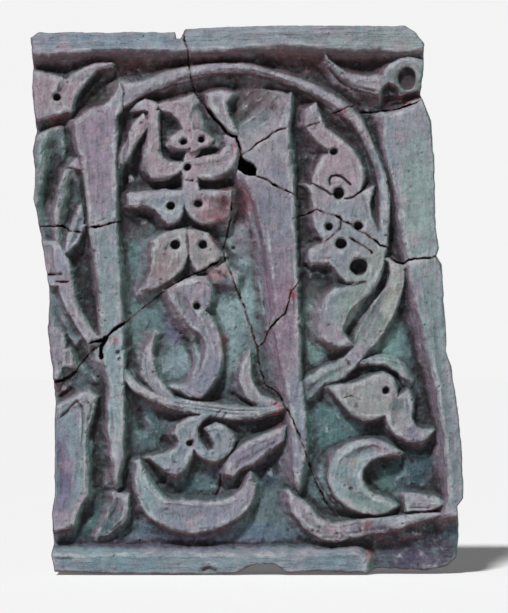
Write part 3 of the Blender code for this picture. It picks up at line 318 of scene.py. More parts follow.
BLUE_GREY, MAUVE, ROSE = (130, 136, 143), (138, 124, 134), (150, 134, 138)
TEAL, PALE_TEAL, DARK_TEAL = (104, 117, 117), (134, 145, 147), (84, 100, 101)
# The first colour here is a dark brown for painted shade beside and under the forms.
SHADE_BROWN, UMBER, SLATE, PLUM = (78, 60, 60), (98, 82, 84), (72, 84, 86), (84, 74, 88)
# The second colour here is a dark grey for painted shadows in gaps and under the forms.
PALE_GROUND, PAINTED_SHADOW = (142, 153, 154), (58, 58, 68)
# The ground's base is darker than the faces': partly dirt, partly painted shade.
GROUND_CLAY, FACE_CLAY = (98, 104, 106), (142, 134, 140)
STRENGTH = 1.45          # how much stronger the tints are made
COOLER = (-6.0, 1.0, 3.0)

# Tints of the ground and of the raised faces: x, z, half width, half height, colour. Besides the clay's
# own tones, the darkest of them are painted shade and shadows: on the slope under the top band, beside and
# below the forms, in narrow gaps and under the petals.
GROUND_TINTS = [
    (0, 175, 170, 12, (90, 54, 52)), (-5, 150, 70, 16, UMBER), (-85, 125, 12, 40, SHADE_BROWN),
    (-60, 150, 20, 10, SHADE_BROWN), (-10, 60, 18, 40, (126, 116, 122)), (-20, 5, 32, 40, PALE_GROUND),
    (-30, -40, 26, 24, PALE_GROUND), (-80, 40, 16, 26, TEAL), (-75, -5, 18, 22, TEAL),
    (-70, -90, 24, 20, SLATE), (-50, -140, 40, 14, DARK_TEAL), (-20, -170, 75, 10, (96, 106, 116)),
    (-110, -170, 20, 14, DARK_TEAL), (60, 130, 26, 26, UMBER), (50, 80, 12, 40, UMBER),
    (88, 60, 10, 40, PLUM), (60, 0, 22, 30, DARK_TEAL), (110, 120, 14, 30, UMBER),
    (118, 0, 10, 50, SLATE), (60, -90, 40, 22, DARK_TEAL), (100, -110, 34, 26, (80, 92, 94)),
    (60, -140, 26, 20, TEAL), (104, -134, 20, 14, (84, 100, 98)), (120, -165, 36, 22, PAINTED_SHADOW),
    (125, -185, 36, 12, (76, 66, 78)), (-130, 145, 26, 22, SHADE_BROWN), (-105, 155, 12, 12, (84, 78, 72)),
    (-145, -45, 12, 16, PLUM), (-125, 0, 16, 26, SLATE), (-112, -160, 14, 30, DARK_TEAL),
    (110, 160, 26, 14, UMBER), (75, 155, 26, 12, UMBER), (-52, -54, 18, 18, (126, 134, 138)),
    (122, -122, 18, 20, (60, 68, 74)), (112, -172, 30, 12, (50, 42, 50)), (-8, 72, 9, 17, (92, 46, 54)),
    (-20, -122, 20, 12, (62, 70, 78)), (48, -14, 12, 34, (126, 142, 138)),
    (100, -30, 12, 24, (118, 136, 132)), (-92, 100, 8, 30, (58, 46, 48)),
    (-53, -12, 9, 22, (100, 92, 110)), (-60, -176, 70, 7, (112, 108, 122)),
    (40, -178, 40, 6, (100, 108, 114)), (12, -124, 15, 13, (54, 60, 70)),
    (-84, -152, 10, 18, (48, 55, 60)), (50, 14, 14, 14, (68, 62, 62)), (82, 2, 8, 26, (112, 124, 120)),
    (-83, 58, 11, 13, (76, 66, 68)), (-14, 78, 10, 16, (74, 44, 50)), (-83, -44, 9, 20, PALE_GROUND),
    (22, 171, 18, 7, (116, 98, 100)), (45, -117, 7, 13, TEAL), (-36, -166, 18, 6, PLUM),
    (-99, -21, 7, 6, PAINTED_SHADOW), (-19, 10, 8, 6, PAINTED_SHADOW), (-4, 91, 6, 9, PAINTED_SHADOW), (-35, -101, 6, 8, PAINTED_SHADOW)]
FACE_TINTS = [
    (-90, 190, 80, 14, BLUE_GREY), (10, 192, 50, 12, (136, 138, 142)), (85, 190, 50, 14, (134, 138, 138)),
    (-112, 105, 20, 45, MAUVE), (-104, 20, 14, 50, (128, 134, 136)), (-98, -60, 12, 50, PALE_TEAL),
    (-140, 150, 26, 16, ROSE), (-145, 100, 14, 30, DARK_TEAL), (-150, 105, 5, 30, (140, 146, 142)),
    (-130, 40, 16, 30, (130, 128, 136)), (-135, -110, 22, 40, (124, 130, 135)),
    (-137, -126, 8, 32, (112, 104, 120)), (-50, 120, 40, 30, ROSE), (-50, 65, 34, 14, (134, 136, 142)),
    (-30, 66, 16, 12, (132, 106, 108)), (-45, 35, 30, 20, (140, 132, 130)),
    (-40, -15, 22, 26, (134, 126, 136)), (-40, -50, 26, 16, (126, 122, 134)),
    (20, 120, 26, 24, (142, 136, 140)), (20, 60, 20, 40, (126, 122, 130)),
    (20, -10, 16, 50, (126, 108, 118)), (36, -90, 14, 50, (118, 120, 128)), (65, 110, 24, 30, ROSE),
    (70, 50, 26, 24, (134, 136, 140)), (60, 5, 20, 26, (122, 130, 134)),
    (100, 100, 14, 60, (130, 132, 138)), (90, 0, 26, 40, (132, 136, 130)),
    (118, 120, 18, 40, (140, 138, 142)), (122, 70, 16, 50, (134, 142, 140)),
    (132, -30, 14, 60, (124, 132, 132)), (140, -110, 16, 50, (114, 119, 121)),
    (90, -70, 34, 24, (140, 138, 136)), (70, -125, 24, 34, (128, 138, 140)),
    (85, -152, 34, 12, (114, 122, 120)), (55, -165, 40, 12, (118, 110, 114)),
    (-40, -160, 50, 20, (126, 124, 132)), (-75, -130, 14, 26, PALE_TEAL),
    (-40, -105, 30, 22, (124, 130, 134)), (5, -110, 26, 16, (128, 120, 130)),
    (-40, -190, 90, 10, (116, 123, 127)), (60, -190, 30, 10, (110, 120, 125)),
    (-110, -190, 40, 10, (112, 121, 127)), (-99, -156, 14, 24, (70, 70, 76)),
    (114, 162, 18, 14, (124, 126, 126)), (114, 161, 9, 12, (84, 84, 74)),
    (-5, -80, 60, 8, (124, 128, 132)), (88, -14, 8, 34, (118, 119, 120)),
    (104, 4, 8, 26, (150, 147, 142)), (60, -52, 16, 8, (150, 152, 150)),
    (-34, -30, 10, 30, (122, 119, 127)), (8, 20, 8, 60, (112, 104, 116)),
    (118, -40, 6, 60, (108, 102, 116)), (-62, 20, 10, 16, (134, 122, 122)),
    (-4, 70, 7, 14, (124, 74, 80)), (-16, 74, 8, 11, (104, 74, 76)), (-22, 22, 10, 10, (138, 108, 108)),
    (-112, -182, 36, 6, PALE_TEAL), (-147, 76, 6, 11, PALE_TEAL), (-51, -69, 8, 8, BLUE_GREY),
    (109, -71, 7, 10, SLATE), (-51, -37, 5, 10, PLUM), (-18, 75, 8, 11, (66, 38, 42)),
    (96, -167, 26, 5, PAINTED_SHADOW), (-19, 11, 7, 5, PAINTED_SHADOW), (108, -147, 10, 4, PALE_TEAL)]


def noise(x, z, size, seed):
    """Smooth noise from -1 to 1 with bumps about this far apart."""
    table = np.random.default_rng(seed).uniform(-1.0, 1.0, (LATTICE, LATTICE))
    u, v = x / size, z / size
    i, j = np.floor(u).astype(int), np.floor(v).astype(int)
    s, t = u - i, v - j
    s, t = s * s * (3 - 2 * s), t * t * (3 - 2 * t)
    near, far = i % LATTICE, (i + 1) % LATTICE
    low, high = j % LATTICE, (j + 1) % LATTICE
    below = table[low, near] * (1 - s) + table[low, far] * s
    above = table[high, near] * (1 - s) + table[high, far] * s
    return below * (1 - t) + above * t


def rough(x, z, size, seed, octaves=3, fall=0.55):
    """Several layers of noise, each turned against the last, finer and weaker."""
    total, weight, sum_of_weights = 0.0, 1.0, 0.0
    for layer in range(octaves):
        turn = 0.7 + 1.1 * layer
        u = x * math.cos(turn) - z * math.sin(turn)
        v = x * math.sin(turn) + z * math.cos(turn)
        total = total + weight * noise(u, v, size, seed + layer)
        sum_of_weights += weight
        weight *= fall
        size *= 0.47
    return total / sum_of_weights


def smoothstep(value, low, high):
    """0 below low and 1 above high, with a soft rise between."""
    t = np.clip((value - low) / (high - low), 0.0, 1.0)
    return t * t * (3 - 2 * t)


def blurred(field, width):
    """A Gaussian blur, its width in millimetres."""
    sigma = width / STEP
    reach = max(1, int(math.ceil(2.6 * sigma)))
    weights = np.exp(-0.5 * (np.arange(-reach, reach + 1) / sigma) ** 2)
    weights /= weights.sum()
    for axis in (0, 1):
        padding = [(0, 0), (0, 0)]
        padding[axis] = (reach, reach)
        padded = np.pad(field, padding, mode="edge")
        span = field.shape[axis]
        field = sum(weight * np.take(padded, range(k, k + span), axis=axis)
                    for k, weight in enumerate(weights))
    return field


def sampled(field, x, z):
    """The value of a field of the grid at any places."""
    u = np.clip((x - xs[0]) / STEP, 0.0, len(xs) - 1.001)
    v = np.clip((z - zs[0]) / STEP, 0.0, len(zs) - 1.001)
    i, j = u.astype(int), v.astype(int)
    s, t = u - i, v - j
    return ((field[j, i] * (1 - s) + field[j, i + 1] * s) * (1 - t)
            + (field[j + 1, i] * (1 - s) + field[j + 1, i + 1] * s) * t)


def nearest_patch(patches, x, z):
    """1 at the middle of the nearest patch, falling off outwards and below 0 outside it."""
    total = np.full(x.shape, -1.0)
    for px, pz, wide, tall in patches:
        total = np.maximum(total, 1.0 - np.hypot((x - px) / wide, (z - pz) / tall) * 0.8)
    return total


def outline_loops(node):
    """The closed outlines of the node's flat back, from the edges that only one of its faces has."""
    places = np.array([vertex.co for vertex in node.data.vertices]) / MM
    on_back = places[:, 1] > -0.01
    keys = [tuple(np.round(place, 3)) for place in places]
    directed = set()
    for face in node.data.polygons:
        corners = list(face.vertices)
        if all(on_back[corner] for corner in corners):
            for a, b in zip(corners, corners[1:] + corners[:1]):
                directed.add((keys[a], keys[b]))
    following = {a: b for a, b in directed if (b, a) not in directed}
    loops = []
    while following:
        start, current = min(following.items())
        loop = [start]
        del following[start]
        while current != start:
            loop.append(current)
            current = following.pop(current)
        loops.append(np.array([(p[0], p[2]) for p in loop]))
    return loops


def nearest_on(start, end, x, z):
    """The share of the way from start to end that is nearest to each place, and its distance squared."""
    (ax, az), (bx, bz) = start, end
    dx, dz = bx - ax, bz - az
    t = np.clip(((x - ax) * dx + (z - az) * dz) / (dx * dx + dz * dz), 0.0, 1.0)
    return t, (x - ax - t * dx) ** 2 + (z - az - t * dz) ** 2


def inside_by(loops, x, z):
    """How far each place is inside the outlines, negative outside."""
    nearest = np.full(x.shape, 1e9)
    crossed = np.zeros(x.shape, bool)
    for loop in loops:
        for (ax, az), (bx, bz) in zip(loop, np.roll(loop, -1, axis=0)):
            nearest = np.minimum(nearest, nearest_on((ax, az), (bx, bz), x, z)[1])
            if bz - az:
                crossed ^= ((az > z) != (bz > z)) & (x < ax + (z - az) * (bx - ax) / (bz - az))
    return np.sqrt(nearest) * np.where(crossed, 1.0, -1.0)


def route_window(route, reach):
    """The rows and columns of the grid around a route."""
    def span(values, grid):
        ends = (np.array([min(values) - reach, max(values) + reach]) - grid[0]) / STEP
        return slice(*np.clip(np.round(ends), 0, len(grid)).astype(int))
    across, up = zip(*route)
    return span(up, zs), span(across, xs)


def route_distance(route, x, z):
    """Distance to a route, the share of its length at the nearest point, and the side."""
    route = np.array(route, float)
    lengths = np.hypot(*np.diff(route, axis=0).T)
    starts = np.concatenate([[0.0], np.cumsum(lengths)])
    best = np.full(x.shape, 1e9)
    share = np.zeros(x.shape)
    side = np.zeros(x.shape)
    for number, ((ax, az), (bx, bz)) in enumerate(zip(route[:-1], route[1:])):
        t, away = nearest_on((ax, az), (bx, bz), x, z)
        closer = away < best
        best = np.where(closer, away, best)
        share = np.where(closer, (starts[number] + t * lengths[number]) / starts[-1], share)
        side = np.where(closer, np.sign((bx - ax) * (z - az) - (bz - az) * (x - ax)), side)
    return np.sqrt(best), share, side


def measured_heights(x, z):
    """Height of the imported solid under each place, or no number where there is none."""
    tree = BVHTree.FromObject(node, bpy.context.evaluated_depsgraph_get())
    ahead = Vector((0.0, 1.0, 0.0))
    found = np.zeros(x.size)
    for number, (px, pz) in enumerate(zip((x * MM).ravel().tolist(), (z * MM).ravel().tolist())):
        hit = tree.ray_cast((px, -0.1, pz), ahead)[0]
        found[number] = -hit.y / MM if hit else np.nan
    return found.reshape(x.shape)


def spread_out(solid):
    """The measured heights, carried on smoothly past the outline."""
    covered = ~np.isnan(solid) & (solid > 1.0)
    weight = blurred(covered.astype(float), 1.6)
    filled = blurred(np.where(covered, solid, 0.0), 1.6) / np.maximum(weight, 1e-6)
    return np.where(covered, solid, np.where(weight > 1e-4, filled, GROUND))


def close_cracks(height, x, z):
    """Closes the solid's own straight-sided cracks, so that finer ones can be cut in their place."""
    closed = height
    for pick in (np.maximum, np.minimum):
        for axis in (0, 1):
            closed = functools.reduce(pick, [np.roll(closed, shift, axis) for shift in range(-2, 3)])
    for width, first, last, *route in CRACKS:
        window = route_window(route, 6.0)
        away = route_distance(route, x[window], z[window])[0]
        height[window] = np.where(away < MENDED, closed[window], height[window])


def sloped(field, steps, west, east, down, up):
    """Widens the foot of every form: its flanks come down over these distances."""
    uneven = 1.0 + 0.45 * grain(24.0, 15, 2)
    moves = [(0, 1, east), (0, -1, west), (1, 0, up), (-1, 0, down)]
    for _ in range(steps):
        for rows, columns, run in moves:
            moved = np.roll(field, (rows, columns), axis=(0, 1)) - DROP * STEP / (run * uneven)
            field = np.maximum(field, moved)
    return field


def hollow_flanks(height):
    """Makes the flanks steep below the edge of the face, then spreading into the ground."""
    height = np.maximum(height, sloped(height, 10, west=4.2, east=3.2, down=4.2, up=3.0))
    foot = sloped(np.minimum(height, GROUND + FOOT), 20, west=15.0, east=8.0, down=17.0, up=7.0)
    height = np.where(height < foot, 0.25 * height + 0.75 * foot, height)
    return blurred(height, 0.25)


def carve_unevenly(height, x, z):
    """Slow swells on the faces, deeper and coarser ones on the ground, and the strokes of the tool."""
    raised = smoothstep(np.clip((height - GROUND) / DROP, 0.0, 1.0), 0.25, 0.75)
    sunk = 1.0 - raised
    top_band = smoothstep(z, 178.0, 182.0)
    bottom_band = smoothstep(-z, 176.0, 182.0) * smoothstep(-x, -90.0, -80.0)
    bands = np.maximum(top_band, bottom_band) * raised
    height += raised * (0.6 * grain(26.0, 21, 2) + 0.3 * grain(7.0, 25))
    height += sunk * (1.6 * grain(17.0, 31, 2) + 0.9 * grain(5.5, 35))
    height += sunk * 1.5 * (0.25 - np.abs(grain(10.0, 45, 2)))
    height += 0.30 * grain(2.2, 41, 2)
    height += sunk * 0.5 * grain(3.2, 47, 2)
    # Strokes along the bands, down the faces of the uprights, and aslant over the ground
    height += bands * 0.75 * rough(x / 22.0, z, 2.6, 51, 2)
    height += (raised - bands) * 0.30 * noise(x, z / 18.0, 1.9, 55)
    height += sunk * 0.5 * rough(x * 0.8 + z * 0.6, (z * 0.8 - x * 0.6) / 4.0, 3.0, 57, 2)


def model(height, x, z):
    """Scoops and builds up the clay along the routes, with soft sides and ends."""
    for number, (width, amount, *route) in enumerate(MODELLING):
        window = route_window(route, 0.7 * width)
        u, v = x[window], z[window]
        away, share, side = route_distance(route, u, v)
        reach = width / 2 * (1.0 + 0.25 * noise(u, v, 9.0, 600 + number))
        ends = 0.35 + 0.65 * smoothstep(np.minimum(share, 1.0 - share), 0.0, 0.15)
        length = np.hypot(*np.diff(np.array(route, float), axis=0).T).sum()
        streaks = 0.4 * rough(away * side, share * length / 10.0, 1.9, 800 + number, 2)
        height[window] += amount * ends * smoothstep(1.0 - away / reach, 0.0, 1.0)
        height[window] += streaks * smoothstep(1.3 - away / reach, 0.0, 0.6)


def wear_edges(height):
    """Wears and chips what stands out, and rounds the outline."""
    proud = height - blurred(height, 1.8)
    wear = 0.5 + 0.5 * grain(9.0, 61, 3)
    height -= np.clip(proud - 0.3, 0.0, 3.0) * (0.05 + 0.25 * wear)
    chipped = smoothstep(grain(5.0, 65, 3), 0.38, 0.62)
    height -= chipped * np.clip(proud, 0.0, 2.0) * 1.1
    edge_wear = 1.5 + 1.6 * np.clip(grain(11.0, 71, 3) + 0.2, 0.0, 1.0)
    height -= 0.9 * edge_wear * (1.0 - smoothstep(inside, 0.0, edge_wear)) ** 2


def drill_eyes(height, x, z):
    """Bores the eyes, with worn rims."""
    for px, pz, wide, tall, depth in EYES:
        window = route_window([(px, pz)], max(wide, tall) + 3.0)
        away = np.hypot((x[window] - px) / wide, (z[window] - pz) / tall) * min(wide, tall)
        short = min(wide, tall) - away
        part = height[window]
        around = np.median(part[(short < -EYE_RIM) & (short > -2.6)])
        rim = around - 0.3 - 0.7 * smoothstep(short, -EYE_RIM, 0.0)
        rim = np.where(short > 0.0, rim, np.minimum(part, rim)) - depth * smoothstep(short, -0.15, 0.9)
        height[window] = np.where(short > -EYE_RIM, rim, part)


def carve_cracks(height, x, z):
    """Cuts the cracks, with broken lips, and returns how close each place is to one."""
    nearness = np.zeros(height.shape)
    for number, (width, first, last, *route) in enumerate(CRACKS):
        seed = 300 + number
        window = route_window(route, 8.0)
        u, v = x[window], z[window]
        wander = 0.35 * noise(u, v, 2.3, seed) + 0.45 * noise(u, v, 6.0, seed + 40)
        away, share, side = route_distance(route, u, v)
        away = np.abs(away * np.where(side == 0, 1.0, side) + wander)
        taper = np.minimum(first + share / CRACK_ENDS, last + (1 - share) / CRACK_ENDS)
        half = width / 2 * np.minimum(taper, 1.0) * (0.8 + 0.45 * noise(u, v, 3.4, seed + 80))
        lip = half + 0.1 + 1.5 * np.clip(rough(u, v, 4.0, seed + 120), 0.0, 1.0)
        part = height[window] - 0.8 * smoothstep(lip - away, 0.0, 1.2)
        deep = smoothstep(half + 0.2 - away, 0.0, 0.45)
        bottom = np.minimum(part, GROUND - CRACK_FLOOR + 1.5 * noise(u, v, 4.0, seed + 160))
        bottom = np.maximum(bottom, part - HAIRLINE * 2.0 ** (8.0 * half - 4.0))
        height[window] = part + (bottom - part) * deep
        nearness[window] = np.maximum(nearness[window], smoothstep(CRACK_REACH - away, 0.0, CRACK_REACH))
    return nearness


def carve_lines(height, x, z):
    """Cuts the incised lines."""
    for width, depth, *route in LINES:
        window = route_window(route, 4.0)
        away = route_distance(route, x[window], z[window])[0]
        height[window] -= depth * smoothstep(width / 2 + 0.4 - away, 0.0, 0.7)


def sink_pits(height, x, z):
    """Sinks the listed pits and the scattered ones."""
    draw = np.random.default_rng(77).uniform
    scattered = [(draw(-150, 150), draw(-195, 195), draw(0.4, 1.1), draw(0.3, 1.0))
                 for _ in range(LOOSE_PITS)]
    for px, pz, radius, depth in PITS + scattered:
        window = route_window([(px, pz)], radius + 1.5)
        away = np.hypot(x[window] - px, (z[window] - pz) * draw(0.8, 1.2))
        height[window] -= depth * smoothstep(radius + 0.5 - away, 0.0, 0.9)


def front_cells():
    """Which places of the grid the front uses, and the corners of its square faces."""
    keep = inside > -0.5 * STEP
    quads = keep[:-1, :-1] & keep[1:, :-1] & keep[:-1, 1:] & keep[1:, 1:]
    used = np.zeros(keep.shape, bool)
    for rows in (slice(None, -1), slice(1, None)):
        for columns in (slice(None, -1), slice(1, None)):
            used[rows, columns] |= quads
    index = np.full(keep.shape, -1)
    index[used] = np.arange(used.sum())
    return used, np.stack([index[:-1, :-1], index[:-1, 1:], index[1:, 1:], index[1:, :-1]], axis=-1)[quads]


def rim_edges(faces, count):
    """The directed edges of the front that no second face shares."""
    edges = np.concatenate([faces[:, [k, (k + 1) % 4]] for k in range(4)])
    code, back_code = (edges[:, k] * (count + 1) + edges[:, 1 - k] for k in (0, 1))
    return edges[~np.isin(code, back_code)]


def back_patches(edge_x, edge_z, rim):
    """Loose points on the back, and its triangles between them and the last row of the sides."""
    bx, bz = np.meshgrid(np.arange(xs[0], xs[-1], BACK_STEP), np.arange(zs[0], zs[-1], BACK_STEP))
    scatter = np.random.default_rng(91)
    bx = (bx + scatter.uniform(-1.5, 1.5, bx.shape)).ravel()
    bz = (bz + scatter.uniform(-1.5, 1.5, bz.shape)).ravel()
    within = sampled(inside, bx, bz) > BACK_MARGIN
    bx, bz = bx[within], bz[within]
    points = [Vector(point) for point in zip(np.concatenate([edge_x, bx]), np.concatenate([edge_z, bz]))]
    _, _, patches, origin, _, _ = delaunay_2d_cdt(points, rim, [], 1, 1e-5)
    # A corner that the triangulation added by itself goes to the last of the loose points
    source = [max(found) if found else -1 for found in origin]
    patches = [[source[corner] for corner in patch] for patch in patches]
    centre = np.array([[sum(points[c][k] for c in patch) / 3 for k in (0, 1)] for patch in patches])
    real = sampled(inside, centre[:, 0], centre[:, 1]) > 0.0
    return bx, bz, np.array(patches)[real]


def tile_shell():
    """The closed shell: the carved front, rough sides and a nearly flat back."""
    used, faces = front_cells()
    x, z = grid_x[used], grid_z[used]
    rim = rim_edges(faces, used.sum())
    on_rim = np.unique(rim)
    slope_z, slope_x = np.gradient(inside, STEP)

    # The rim is moved onto the outline
    for _ in range(3):
        gx, gz = (sampled(slope, x[on_rim], z[on_rim]) for slope in (slope_x, slope_z))
        short = sampled(inside, x[on_rim], z[on_rim]) / np.maximum(gx * gx + gz * gz, 0.25)
        x[on_rim] -= short * gx
        z[on_rim] -= short * gz
    x = np.clip(x, lowest.x / MM, highest.x / MM)
    z = np.clip(z, lowest.z / MM, highest.z / MM)
    y = sampled(height, x, z)

    # The sides, row by row towards the back, only ever moved inwards
    gx, gz = (sampled(slope, x[on_rim], z[on_rim]) for slope in (slope_x, slope_z))
    length = np.maximum(np.hypot(gx, gz), 1e-6)
    gx, gz = gx / length, gz / length
    around = x[on_rim] * 0.9 + z[on_rim] * 0.7
    layers = [(x, y, z)]
    rows = [on_rim]
    for row in range(1, WALL_ROWS + 1):
        share = row / WALL_ROWS
        tall = y[on_rim] * (1.0 - share)
        dent = 0.7 + 0.7 * rough(around, tall, 13.0, 81) + 0.35 * rough(around, tall * 1.2, 3.5, 85)
        dent = np.clip(dent, 0.05, 2.5) * smoothstep(share, 0.0, 0.14) + 0.9 * smoothstep(share, 0.93, 1.0)
        tall = tall if row < WALL_ROWS else np.full(tall.shape, LAST_ROW)
        layers.append((x[on_rim] + gx * dent, tall, z[on_rim] + gz * dent))
        rows.append(len(x) + (row - 1) * len(on_rim) + np.arange(len(on_rim)))
    all_faces = [faces[:, [0, 1, 2]], faces[:, [0, 2, 3]]]
    a, b = np.searchsorted(on_rim, rim).T
    for upper, lower in zip(rows[:-1], rows[1:]):
        all_faces.append(np.stack([upper[b], upper[a], lower[a]], axis=1))
        all_faces.append(np.stack([upper[b], lower[a], lower[b]], axis=1))

    bx, bz, patches = back_patches(layers[-1][0], layers[-1][2], list(zip(a.tolist(), b.tolist())))
    back = np.concatenate([rows[-1], rows[-1][-1] + 1 + np.arange(len(bx))])
    all_faces.append(back[patches][:, ::-1])
    layers.append((bx, 0.35 + 0.3 * rough(bx, bz, 40.0, 95, 3), bz))
    px, py, pz = (np.concatenate([layer[k] for layer in layers]) for k in range(3))
    return np.stack([px, -np.maximum(py, 0.0), pz], axis=1) * MM, np.concatenate(all_faces)


def placed(name, data):
    """A new object in the scene."""
    made = bpy.data.objects.new(name, data)
    bpy.context.scene.collection.objects.link(made)
    return made


def mesh_object(name, places, faces):
    mesh = bpy.data.meshes.new(name)
    mesh.vertices.add(len(places))
    mesh.vertices.foreach_set("co", places.astype(np.float32).ravel())
    mesh.loops.add(faces.size)
    mesh.loops.foreach_set("vertex_index", faces.astype(np.int32).ravel())
    mesh.polygons.add(len(faces))
    mesh.polygons.foreach_set("loop_start", np.arange(0, faces.size, 3, dtype=np.int32))
    mesh.update(calc_edges=True)
    mesh.validate()
    return placed(name, mesh)


def reduce(piece, triangles):
    """Leaves the piece fewer triangles, most of them where the form needs them."""
    decimate = piece.modifiers.new("reduce", "DECIMATE")
    decimate.ratio = triangles / len(piece.data.polygons)
    evaluated = piece.evaluated_get(bpy.context.evaluated_depsgraph_get())
    mesh = bpy.data.meshes.new_from_object(evaluated)
    piece.modifiers.clear()
    old, piece.data = piece.data, mesh
    bpy.data.meshes.remove(old)
    mesh.name = piece.name
    mesh.shade_smooth()


def keep_in_box(mesh):
    """Moves vertices that reducing left outside the solid's box back onto it, and returns them all."""
    places = np.zeros(len(mesh.vertices) * 3, np.float32)
    mesh.vertices.foreach_get("co", places)
    places = np.clip(places.reshape(-1, 3), lowest, highest)
    mesh.vertices.foreach_set("co", places.astype(np.float32).ravel())
    mesh.update()
    return places / MM


def red_share(x, z):
    """How much of the dusty red shows, with ragged borders."""
    total = np.maximum(nearest_patch(RED, x, z), 0.0)
    return np.clip(total * 1.6 + 0.35 * rough(x, z, 6.0, 101), 0.0, 1.0) * smoothstep(total, 0.0, 0.15)


def vivid(tint):
    """A stronger and slightly cooler tint of the same lightness."""
    grey = sum(tint) / 3
    return [max(grey + (value - grey) * STRENGTH + shift, 0.0) for value, shift in zip(tint, COOLER)]


def linear(tint):
    """A colour of 0 to 255, as seen, in linear light."""
    return [v / 255 / 12.92 if v <= 10 else ((v / 255 + 0.055) / 1.055) ** 2.4 for v in tint]


def tinted(start, patches, x, z, seed):
    """The start colour with patches of other tints, which run into each other."""
    result = np.tile(linear(vivid(start)), (len(x), 1))
    for number, (px, pz, wide, tall, tint) in enumerate(patches):
        away = np.hypot((x - px) / wide, (z - pz) / tall) + 0.35 * rough(x, z, 14.0, seed + number, 2)
        share = (0.85 * smoothstep(-away, -1.25, -0.55))[:, None]
        result = result * (1 - share) + np.array(linear(vivid(tint))) * share
    return result


def store_looks(mesh, places):
    """Keeps on each vertex what the material needs to know about its place."""
    def store(name, values, kind="FLOAT", field="value"):
        layer = mesh.attributes.new(name, kind, "POINT")
        layer.data.foreach_set(field, values.astype(np.float32).ravel())

    x, y, z = places[:, 0].astype(float), -places[:, 1].astype(float), places[:, 2].astype(float)
    side = smoothstep(sampled(height, x, z) - y, 2.0, 5.0)
    store("side", side)
    store("hollow", sampled(hollow, x, z) * (1.0 - side))
    store("face", smoothstep(y, GROUND + 3.0, FACE - 4.0))
    store("shade", sampled(shade, x, z) * (1.0 - side))
    store("crack", sampled(near_crack, x, z) * (1.0 - side))
    store("red", red_share(x, z) * (1.0 - 0.6 * side))
    store("lie", smoothstep(np.abs(z + 3.0), 172.0, 180.0) * (1.0 - side))
    face_share = smoothstep((y - GROUND) / DROP, 0.25, 0.7)[:, None]
    tint = (tinted(FACE_CLAY, FACE_TINTS, x, z, 500) * face_share
            + tinted(GROUND_CLAY, GROUND_TINTS, x, z, 700) * (1 - face_share))
    store("tint", np.column_stack([tint, np.ones(len(tint))]), "FLOAT_COLOR", "color")


def new_material(name):
    material = bpy.data.materials.new(name)
    material.use_nodes = True
    return material, material.node_tree.nodes["Principled BSDF"].inputs


class Nodes:
    """Short ways to add nodes to a material. What a socket gets is an output to link, or a constant."""

    def __init__(self, material):
        self.tree = material.node_tree
        self.place = self.add("ShaderNodeTexCoord").outputs["Object"]

    def put(self, socket, item):
        if isinstance(item, bpy.types.NodeSocket):
            self.tree.links.new(item, socket)
        else:
            socket.default_value = item

    def add(self, kind, sockets=None, **values):
        made = self.tree.nodes.new(kind)
        for key, value in values.items():
            setattr(made, key, value)
        for socket, item in (sockets or {}).items():
            self.put(made.inputs[socket], item)
        return made

    def attribute(self, name, output="Fac"):
        return self.add("ShaderNodeAttribute", attribute_name=name).outputs[output]

    def cloud(self, size, detail=3.0, stretch=(1.0, 1.0, 1.0)):
        """Noise with features of this size in metres."""
        scale = [1.0 / size * s for s in stretch]
        spread = self.add("ShaderNodeVectorMath", {0: self.place, 1: scale}, operation="MULTIPLY")
        sockets = {"Vector": spread.outputs[0], "Scale": 1.0, "Detail": detail, "Roughness": 0.55}
        return self.add("ShaderNodeTexNoise", sockets, noise_dimensions="3D").outputs["Fac"]

    def ramp(self, value, low, high, start=0.0, end=1.0):
        """Maps a value from low..high to start..end, smoothly and within them."""
        sockets = {"Value": value, "From Min": low, "From Max": high, "To Min": start, "To Max": end}
        made = self.add("ShaderNodeMapRange", sockets, interpolation_type="SMOOTHSTEP", clamp=True)
        return made.outputs["Result"]

    def clouds(self, size, detail, low, high, most):
        """Clouds of this size where the noise passes low, at their strongest from high on."""
        return self.ramp(self.cloud(size, detail), low, high, 0.0, most)

    def times(self, first, *others):
        for other in others:
            first = self.add("ShaderNodeMath", {0: first, 1: other}, operation="MULTIPLY").outputs[0]
        return first

    def blend(self, share, below, above, mode="MIX"):
        sockets = {0: share, 6: below, 7: above}
        return self.add("ShaderNodeMix", sockets, data_type="RGBA", blend_type=mode).outputs[2]


